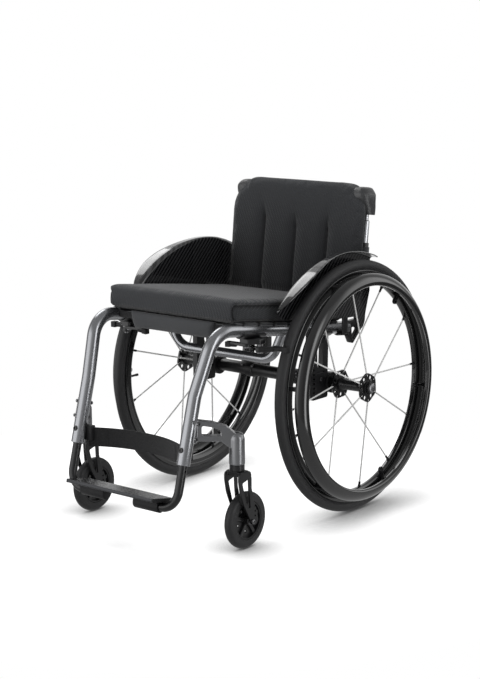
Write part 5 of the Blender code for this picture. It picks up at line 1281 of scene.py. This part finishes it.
over = over_tubes(TUBE_RADIUS + 0.0021, SLING_LIFT + 0.0018)
under = over_tubes(TUBE_RADIUS + 0.0005, SLING_LIFT + 0.0002)[::-1]
sling = piece("seat_cloth", seat_slab(np.concatenate([over, under]), near, far), SLING, "frame",
              "webbing", ["seat_sling"], smooth=40)
width = np.linalg.norm(np.diff(over, axis=0), axis=1).sum()
clips = [crescent(TUBE_RADIUS + 0.0034, TUBE_RADIUS + 0.0022, 90 - side * 6, 90 - side * 44, 8)
         + [side * SEAT_HALF, 0] for label, side in SIDES]
steel("sling_hooks", *[seat_slab(clip, k, k + 0.0085) for clip in clips
                       for k in np.linspace(near + 0.020, far - 0.030, 7)], smooth=34)

# %% [markdown]
# The front of the sling ends in a padded roll. It bulges forward, its lower edge
# tucks back under, its ends slant, and the cover gathers into small folds there.

# %% Front flap
FLAP_HALF, FLAP_DROP, FLAP_Y = SEAT_HALF - 0.0545, 0.0350, FRONT_Y + 0.0600
u, v = np.linspace(-1, 1, 61)[:, None], np.linspace(0, 2 * math.pi, 33)[None, :-1]
fall, bulge = (1 - np.cos(v)) / 2, np.sin(v)
gather = np.exp(-((1 - np.abs(u)) / 0.10) ** 2)
thick = 0.0022 + 0.0090 * np.sqrt(np.clip(1 - np.abs(u) ** 14, 0, 1))
thick = thick * (0.45 + 0.65 * (bulge > 0)) + 0.0010 * gather * np.sin(26 * fall + 9 * u)
across = u * (FLAP_HALF + 0.0015 - 0.0080 * fall)
ahead = (thick * np.sign(bulge) * np.abs(bulge) ** 0.8 - 0.0100 * fall
         + 0.0015 * np.sin(5 * u) * fall)
down = SLING_LIFT + 0.0050 - (FLAP_DROP + 0.0030) * fall - 0.0015 * gather * fall
roll = np.array([0, FLAP_Y, seat_z(FLAP_Y)]) + (
    across[..., None] * X - ahead[..., None] * SEAT_DIR + down[..., None] * SEAT_UP)
band = SEAT_HALF - 0.0080
hem = rounded([(-band, SLING_LIFT + 0.0010), (-band, -0.0060), (band, -0.0060),
               (band, SLING_LIFT + 0.0010)], 0.0030)
piece("sling_hem", seat_slab(hem, near, near + 0.0016), WEBBING, "frame", "webbing",
      bevel=0.0004, smooth=40)
flap = piece("front_flap", grid(roll), SLING, "frame", "webbing", smooth=60)

# %% [markdown]
# The back sling wraps both canes and is stretched flat between them, below the
# tops of the black tubes. It is what the back cushion leans on.

# %% Back sling
def round_canes(radius):
    """Section of one face of the back sling, from round one cane to round the other."""
    return np.concatenate([arc(-SEAT_HALF, 0, radius, 260, 100, 20),
                           arc(SEAT_HALF, 0, radius, 80, -80, 20)])


over, under = round_canes(CANE_RADIUS + 0.0020), round_canes(CANE_RADIUS + 0.0004)[::-1]
low, high = PIVOT_Z + 0.0300, CANE_TOP_Z - 0.0100
tall = (high - low) / CANE_DIR[2]
back_cloth = piece("back_cloth", slab(np.concatenate([over, under]), 0.0, tall, cane_point(low),
                                      CANE_DIR, X, CANE_FRONT), SLING, "back", "webbing",
                   ["back_sling"], smooth=40)
width = np.linalg.norm(np.diff(over, axis=0), axis=1).sum()

# %% [markdown]
# ## Cushions
# A foam cushion in a knitted cover is a box with soft edges, crowned on top,
# that pulls in a little between its corners. It starts as a rounded box worked
# out from a grid, slightly small. A short cloth simulation with pressure inside
# then swells it against its own seams, and the swelling is capped.

# %% Cushion makers
def soft_box(half, radius, counts):
    """Rounded box: each point is its nearest inner point plus the radius along the rest."""
    half, radius = np.array(half), np.array(radius)
    even = [np.linspace(-1, 1, count + 1) for count in counts]
    spread = [(np.sin(s * math.pi / 2) + s) / 2 for s in even]
    sides = []
    for axis in range(3):
        a, b = [k for k in range(3) if k != axis]
        for end in (-1.0, 1.0):
            p = np.full((counts[a] + 1, counts[b] + 1, 3), end)
            p[..., a], p[..., b] = np.meshgrid(spread[a], spread[b], indexing="ij")
            sides.append(grid(p * half, False, False, False))
    points, faces = stack(*sides)
    inner = np.clip(points, -(half - radius), half - radius)
    away = (points - inner) / radius
    size = np.maximum(np.linalg.norm(away, axis=1, keepdims=True), 1e-9)
    return inner + away / size * radius, faces


def coordinates(obj):
    """All the points of an object's mesh as an array."""
    co = np.empty(len(obj.data.vertices) * 3, np.float32)
    obj.data.vertices.foreach_get("co", co)
    return co.reshape(-1, 3).astype(float)


def plump(obj, voxel, cap=0.004):
    """Swell a cushion with cloth pressure, but move no point further than cap."""
    mesh = obj.modifiers.new("even", "REMESH")
    mesh.mode, mesh.voxel_size = "VOXEL", voxel
    settle(obj)
    start = coordinates(obj)
    cloth = obj.modifiers.new("cloth", "CLOTH")
    for key, value in (("use_pressure", True), ("uniform_pressure_force", 4.0), ("quality", 5),
                       ("tension_stiffness", 40.0), ("bending_stiffness", 2.0)):
        setattr(cloth.settings, key, value)
    cloth.settings.effector_weights.gravity = 0.0
    cloth.point_cache.frame_start, cloth.point_cache.frame_end = 1, 20
    for number in range(1, 21):
        scene.frame_set(number)
    settle(obj)
    scene.frame_set(1)
    moved = coordinates(obj) - start
    far = np.linalg.norm(moved, axis=1, keepdims=True)
    start = start + moved * np.minimum(1.0, cap / np.maximum(far, 1e-9))
    print(obj.name, "swells", round(1000 * float(far.max()), 1), "mm, capped at", 1000 * cap)
    obj.data.vertices.foreach_set("co", start.astype(np.float32).ravel())
    finer = obj.modifiers.new("finer", "SUBSURF")
    finer.levels = finer.render_levels = 1
    settle(obj)


def reshape(obj, rule):
    """Move every point of a cushion by a rule on arrays, in the axle frame."""
    points = rule(coordinates(obj) - Y * AXLE_Y) + Y * AXLE_Y
    obj.data.vertices.foreach_set("co", points.astype(np.float32).ravel())
    obj.data.update()
    print(obj.name, [round(1000 * s) for s in obj.dimensions], "mm")


# %% [markdown]
# A panel of darker mesh is let into each side of the seat cushion: a long bay
# with round ends that starts at the front corner. Its seam pulls a groove into
# the foam, and the panel swells back out of it.

# %% Seat cushion
FRONT, REAR, PAD_HALF, PAD_TOP, PAD_LOW = FRONT_Y + 0.0400, 0.0430, 0.1970, 0.0660, 0.0176
mid, half_y = (FRONT + REAR) / 2, (REAR - FRONT) / 2
points, faces = soft_box((PAD_HALF - 0.003, half_y / SEAT_DIR[1] - 0.003,
                          (PAD_TOP - PAD_LOW) / 2 - 0.001), (0.012, 0.012, 0.0080), (48, 50, 12))
a, b = points[:, 0] / PAD_HALF, points[:, 1] / half_y
points[:, 2] += np.where(points[:, 2] > 0, 0.005 * (1 - a ** 2) * (1 - b ** 2), 0)
middle = np.array([0, mid, seat_z(mid)]) + SEAT_UP * (PAD_TOP + PAD_LOW) / 2
seat = piece("seat_pad", aimed((points, faces), middle, X, SEAT_DIR, SEAT_UP), MESH, "frame",
             "cushion_cloth", ["seat_cushion"], smooth=80)
plump(seat, 0.0045)


def panel_edge(points):
    """Signed distance to the side panel, a bay with round ends that starts at the corner.

    Along is measured back from the front corner, and turns onto the front face there."""
    along = (points[:, 1] - FRONT) - (PAD_HALF - np.abs(points[:, 0]))
    high = (points - [0, 0, SEAT_Z]) @ SEAT_UP
    a0, a1, h0, h1, r = -0.002, REAR - FRONT - 0.020, PAD_LOW + 0.0015, PAD_TOP - 0.0110, 0.0140
    out_a = np.abs(along - (a0 + a1) / 2) - (a1 - a0) / 2 + r
    out_h = np.abs(high - (h0 + h1) / 2) - (h1 - h0) / 2 + r
    return np.hypot(np.maximum(out_a, 0), np.maximum(out_h, 0)) + np.minimum(
        np.maximum(out_a, out_h), 0) - r


def tuck(points):
    """A groove runs around the side panel, and the panel swells back out of it."""
    edge = panel_edge(points)
    depth = 0.0070 * np.exp(-(edge / 0.0036) ** 2) + 0.0030 * np.clip(-edge / 0.004, 0, 1)
    depth = depth * np.clip((points[:, 1] - FRONT + 0.002) / 0.012, 0.45, 1)
    beside = np.clip((np.abs(points[:, 0]) - 0.172) / 0.016, 0, 1)
    inward = np.stack([-np.sign(points[:, 0]) * beside,
                       np.clip((FRONT + 0.024 - points[:, 1]) / 0.016, 0, 1), 0 * edge], -1)
    skin = np.clip((np.abs(inward).max(1) - 0.2) / 0.5, 0, 1)
    return points + unit(inward + [0, 1e-6, 0]) * (depth * skin)[:, None]


reshape(seat, tuck)
seat.data.materials.append(DEEP_MESH)
middle = np.empty(len(seat.data.polygons) * 3)
seat.data.polygons.foreach_get("center", middle)
middle = middle.reshape(-1, 3) - Y * AXLE_Y
inside = (panel_edge(middle) < 0.002) & (
    (np.abs(middle[:, 0]) > 0.182) | (middle[:, 1] < FRONT + 0.014))
seat.data.polygons.foreach_set("material_index", inside.astype(np.int32))
smoothed(seat)

# %% [markdown]
# The back pad is thinner, with large round corners at the top. Three vertical
# channels are sewn into its lower part, and each ends in a soft pucker. The
# seam itself is a thread that lies at the bottom of its channel.

# %% Back cushion
BACK_HALF = 0.2045
CHANNELS = ((-0.0965, 0.68), (0.0, 0.62), (0.0955, 0.62))
low_b, high_b = cane_point(0.4700), (0.7530 - 0.4700) / CANE_DIR[2]
front_b, rear_b, reach = 0.0450, 0.0136, high_b / 2 - 0.002
points, faces = soft_box((BACK_HALF, reach, (front_b - rear_b) / 2 - 0.0006),
                         (0.010, 0.007, 0.0085), (56, 44, 10))
ahead_b = np.clip((points[:, 2] + 0.010) / 0.018, 0, 1)
corner = 0.045 + 0.040 * ahead_b
past_bend = np.clip(points[:, 1] - (reach - corner), 0, corner)
width = BACK_HALF - corner + np.sqrt(corner ** 2 - past_bend ** 2)
waist = 1 - 0.022 * np.clip(0.5 - points[:, 1] / high_b, 0, 1) ** 2
points[:, 0] *= width / BACK_HALF * waist
points[:, 0] *= 0.912 + 0.088 * ahead_b
points[:, 1] += 0.0020 * np.clip(points[:, 1] / high_b * 2, 0, 1) * (1 - (points[:, 0] / 0.2) ** 2)
heel = np.clip((0.034 - points[:, 1] - high_b / 2) / 0.036, 0, 1)
points[:, 2] += 0.0170 * heel * np.clip(0.3 - points[:, 2] / 0.012, 0, 1)
centre = low_b + CANE_DIR * high_b / 2 + CANE_FRONT * (front_b + rear_b) / 2
back = piece("back_pad", aimed((points, faces), centre, X, CANE_DIR, np.cross(X, CANE_DIR)), MESH,
             "back", "cushion_cloth", ["back_cushion"], smooth=80)
plump(back, 0.0040)


def seam_x(x, along, end):
    """A channel runs straight up, and the outer ones lean outward past their end."""
    return x + np.sign(x) * 0.11 * np.clip(along - end, 0, 1) ** 1.3


def sew(points):
    """Push the front in along each channel: a wide valley and a narrow fold in it."""
    along = (points - low_b) @ CANE_DIR / high_b
    front = np.clip(((points - centre) @ CANE_FRONT - 0.003) / 0.007, 0, 1)
    push = np.zeros(len(points))
    for x, end in CHANNELS:
        off = np.abs(points[:, 0] - seam_x(x, along, end))
        fade = np.clip((end + 0.10 - along) / 0.14, 0, 1)
        soft = np.clip((end + 0.24 - along) / 0.30, 0, 1) * (0.25 if x == 0 else 0.55)
        push = np.maximum(push, 0.0055 * np.exp(-(off / 0.017) ** 2) * np.maximum(fade, soft)
                          + 0.0050 * np.exp(-(off / 0.0042) ** 1.5) * fade)
    return points - CANE_FRONT * (push * front)[:, None]


reshape(back, sew)
smoothed(back)
threads = []
for x, end in CHANNELS:
    path = []
    for along in np.linspace(0.035, end - 0.01, 24):
        start = low_b + CANE_DIR * along * high_b + X * seam_x(x, along, end) + CANE_FRONT * 0.10
        hit, at, _, _ = back.ray_cast(Vector(start + Y * AXLE_Y), Vector(-CANE_FRONT))
        if hit:
            path.append(np.array(at) - Y * AXLE_Y)
    threads.append(swept(np.array(path), section(0.0011, 10)))
piece("back_seams", stack(*threads), THREAD, "back", "cushion_cloth", smooth=60)

# %% [markdown]
# ## Floor and studio
# The backdrop and the floor are white to the camera. Glossy parts see a studio
# instead: a soft wall at the left, a bright strip at the right with a lighter
# wall beside it above the skirting, dark elsewhere, under a dim ceiling. It is
# written as brightness over the compass bearing from the photographer. The
# floor is a small paper disc whose glow is painted darker where little of the
# sky is open to it: a painted soft shadow at each wheel.

# %% Studio
VIEW_YAW = 39.6


def shader_mix(tree, share, low, high):
    """Shader mixed from low to high as share goes from 0 to 1."""
    return node(tree, "ShaderNodeMixShader", {0: share, 1: low, 2: high}).outputs[0]


def ray(tree, kind):
    """One where the ray is of this kind, or else zero."""
    return node(tree, "ShaderNodeLightPath").outputs[f"Is {kind} Ray"]


def white_to_camera(tree, plain, white):
    """Plain light, but what white says where a camera, glossy or glass ray looks."""
    total = ray(tree, "Camera")
    for kind in ("Glossy", "Transmission"):
        total = node(tree, "ShaderNodeMath", {0: total, 1: ray(tree, kind)},
                     operation="MAXIMUM").outputs[0]
    return shader_mix(tree, total, plain, white)


def room(tree, bearing, skirting, walls, ceiling):
    """How bright the studio is: a ramp over the compass bearing from the photographer,
    (degrees, brightness), for the skirting, one for the walls above it, then the ceiling."""
    where = node(tree, "ShaderNodeTexCoord").outputs["Generated"]
    turn = node(tree, "ShaderNodeMapping", vector_type="TEXTURE", Vector=where,
                Rotation=(0, 0, bearing)).outputs["Vector"]
    round_room = node(tree, "ShaderNodeTexGradient", gradient_type="RADIAL",
                      Vector=turn).outputs["Fac"]
    height = node(tree, "ShaderNodeSeparateXYZ", Vector=where).outputs["Z"]
    colours = []
    for marks in (skirting, walls):
        ramp = node(tree, "ShaderNodeValToRGB", Fac=round_room)
        stops = ramp.color_ramp.elements
        stops.remove(stops[1])
        stops[0].position = 0.0
        for angle, value in marks:
            at = (angle + 180) / 360
            stop = stops.new(at) if at > 0 else stops[0]
            stop.color = (value / 5, value / 5, value / 5, 1)
        colours.append(ramp.outputs["Color"])
    total, dim = colours[0], (ceiling / 5, ceiling / 5, ceiling / 5, 1)
    for low, high, upper in ((-0.04, 0.06, colours[1]), (0.40, 0.75, dim)):
        rise = node(tree, "ShaderNodeMapRange",
                    {"Value": height, "From Min": low, "From Max": high},
                    interpolation_type="SMOOTHSTEP")
        total = blend(tree, rise.outputs["Result"], total, upper)
    return total


LEFT_WALL = [(-180, 1.0), (-155, 1.0), (-145, 0.3), (-110, 0.3), (-92, 1.8), (-42, 1.8),
             (-20, 0.6), (25, 0.25)]
SKIRTING = LEFT_WALL + [(40, 0.2), (46, 4.0), (58, 4.0), (66, 0.2), (110, 0.1), (145, 0.1),
                        (155, 1.0), (180, 1.0)]
WALLS = LEFT_WALL + [(40, 0.25), (46, 3.4), (58, 3.4), (66, 0.7), (84, 0.8), (92, 1.6),
                     (118, 1.6), (130, 0.3), (150, 0.6), (180, 1.0)]
scene.world = bpy.data.worlds.new("studio")
scene.world.use_nodes = True
tree = scene.world.node_tree
plain = tree.nodes["Background"]
feed(tree, plain, {"Color": (1, 1, 1, 1), "Strength": 0.52})
white = node(tree, "ShaderNodeBackground", Strength=1.0, Color=(1, 1, 1, 1))
mirrored = node(tree, "ShaderNodeBackground", Strength=5.0,
                Color=room(tree, math.radians(VIEW_YAW - 90), SKIRTING, WALLS, 0.4))
seen = shader_mix(tree, ray(tree, "Glossy"), white.outputs[0], mirrored.outputs[0])
feed(tree, tree.nodes["World Output"],
     {"Surface": white_to_camera(tree, plain.outputs[0], seen)})

# %% [markdown]
# The paper disc glows where it is open to the sky, and the glow is painted darker
# where it is not: a painted shadow. It is matte besides. A glossy part sees it
# dimmer than the camera does.

# %% Floor
turns = np.linspace(0, 2 * np.pi, 96, endpoint=False)
edge = np.stack([0.95 * np.cos(turns), 0.95 * np.sin(turns) - 0.12, np.full(96, -0.0004)], 1)
ground = bpy.data.meshes.new("floor")
ground.from_pydata(edge.tolist(), [], [tuple(range(96))])
placed("floor", ground)
paper, tree, shader = shader_of("pale floor")
feed(tree, shader, {"Base Color": (0.60, 0.60, 0.60, 1), "Roughness": 0.9,
                    "Specular IOR Level": 0.0})
# Painted shadow: the glow is darkened where the chair shuts out the nearby sky.
near = node(tree, "ShaderNodeAmbientOcclusion", Distance=0.13, samples=8).outputs["Color"]
painted_shadow = node(tree, "ShaderNodeGamma", Gamma=2.0, Color=near).outputs["Color"]
matte = node(tree, "ShaderNodeBsdfDiffuse", Color=(0.22, 0.22, 0.22, 1)).outputs[0]
glow = node(tree, "ShaderNodeEmission", Strength=1.15, Color=painted_shadow).outputs[0]
both = node(tree, "ShaderNodeAddShader", {0: matte, 1: glow}).outputs[0]
dim = node(tree, "ShaderNodeEmission", Strength=0.5).outputs[0]
seen = shader_mix(tree, ray(tree, "Glossy"), both, dim)
feed(tree, tree.nodes["Material Output"],
     {"Surface": white_to_camera(tree, shader.outputs[0], seen)})
ground.materials.append(paper)

# %% [markdown]
# ## Lights and camera
# Three soft lights shape the black parts: a high one beyond the chair, a large
# one in front of it, and a narrow strip at its left side. The last two light the
# chair but do not show in its gloss. The camera's focal length is in pixels of
# the photograph, so the sensor stands for the picture's height.

# %% Lights and camera
def softbox(name, at, aim, size, power):
    """A rectangular area light that looks at a point."""
    lamp = bpy.data.lights.new(name, "AREA")
    lamp.shape, lamp.size, lamp.size_y, lamp.energy = "RECTANGLE", size[0], size[1], power
    obj = placed(name, lamp)
    obj.location = at
    obj.rotation_euler = (Vector(aim) - Vector(at)).to_track_quat("-Z", "Y").to_euler()
    return obj


softbox("high light", (-2.15, 0.70, 2.87), (0, -0.1, 0.5), (1.6, 1.6), 26.0)
for lamp in (softbox("front light", (-1.01, -2.80, 1.85), (0, -0.1, 0.5), (1.7, 1.7), 27.0),
             softbox("side strip", (2.90, 0.40, 1.15), (0, -0.1, 0.45), (0.4, 1.6), 10.0)):
    lamp.visible_glossy = False

FOCAL_PIXELS, PICTURE_PIXELS, SENSOR = 1648.7, 679.0, 36.0
lens = bpy.data.cameras.new("photo view")
lens.sensor_fit, lens.sensor_width, lens.sensor_height = "AUTO", SENSOR, SENSOR
lens.lens = FOCAL_PIXELS / PICTURE_PIXELS * SENSOR
camera = placed("photo view", lens)
yaw, pitch, roll = (math.radians(angle) for angle in (VIEW_YAW, 11.09, -0.46))
turn = (Matrix.Rotation(yaw, 4, "Z") @ Matrix.Rotation(math.pi / 2 - pitch, 4, "X")
        @ Matrix.Rotation(roll, 4, "Z"))
camera.matrix_world = Matrix.Translation((2.4293, -3.0608 + AXLE_Y, 1.1426)) @ turn
scene.camera = camera
scene.view_settings.view_transform = "Standard"

# %% Imported parts still shown
left = [name for name, obj in frame["nodes"].items() if not obj.hide_render] if hasattr(
    frame["nodes"], "items") else []
print("still shown from the packed model:", left)
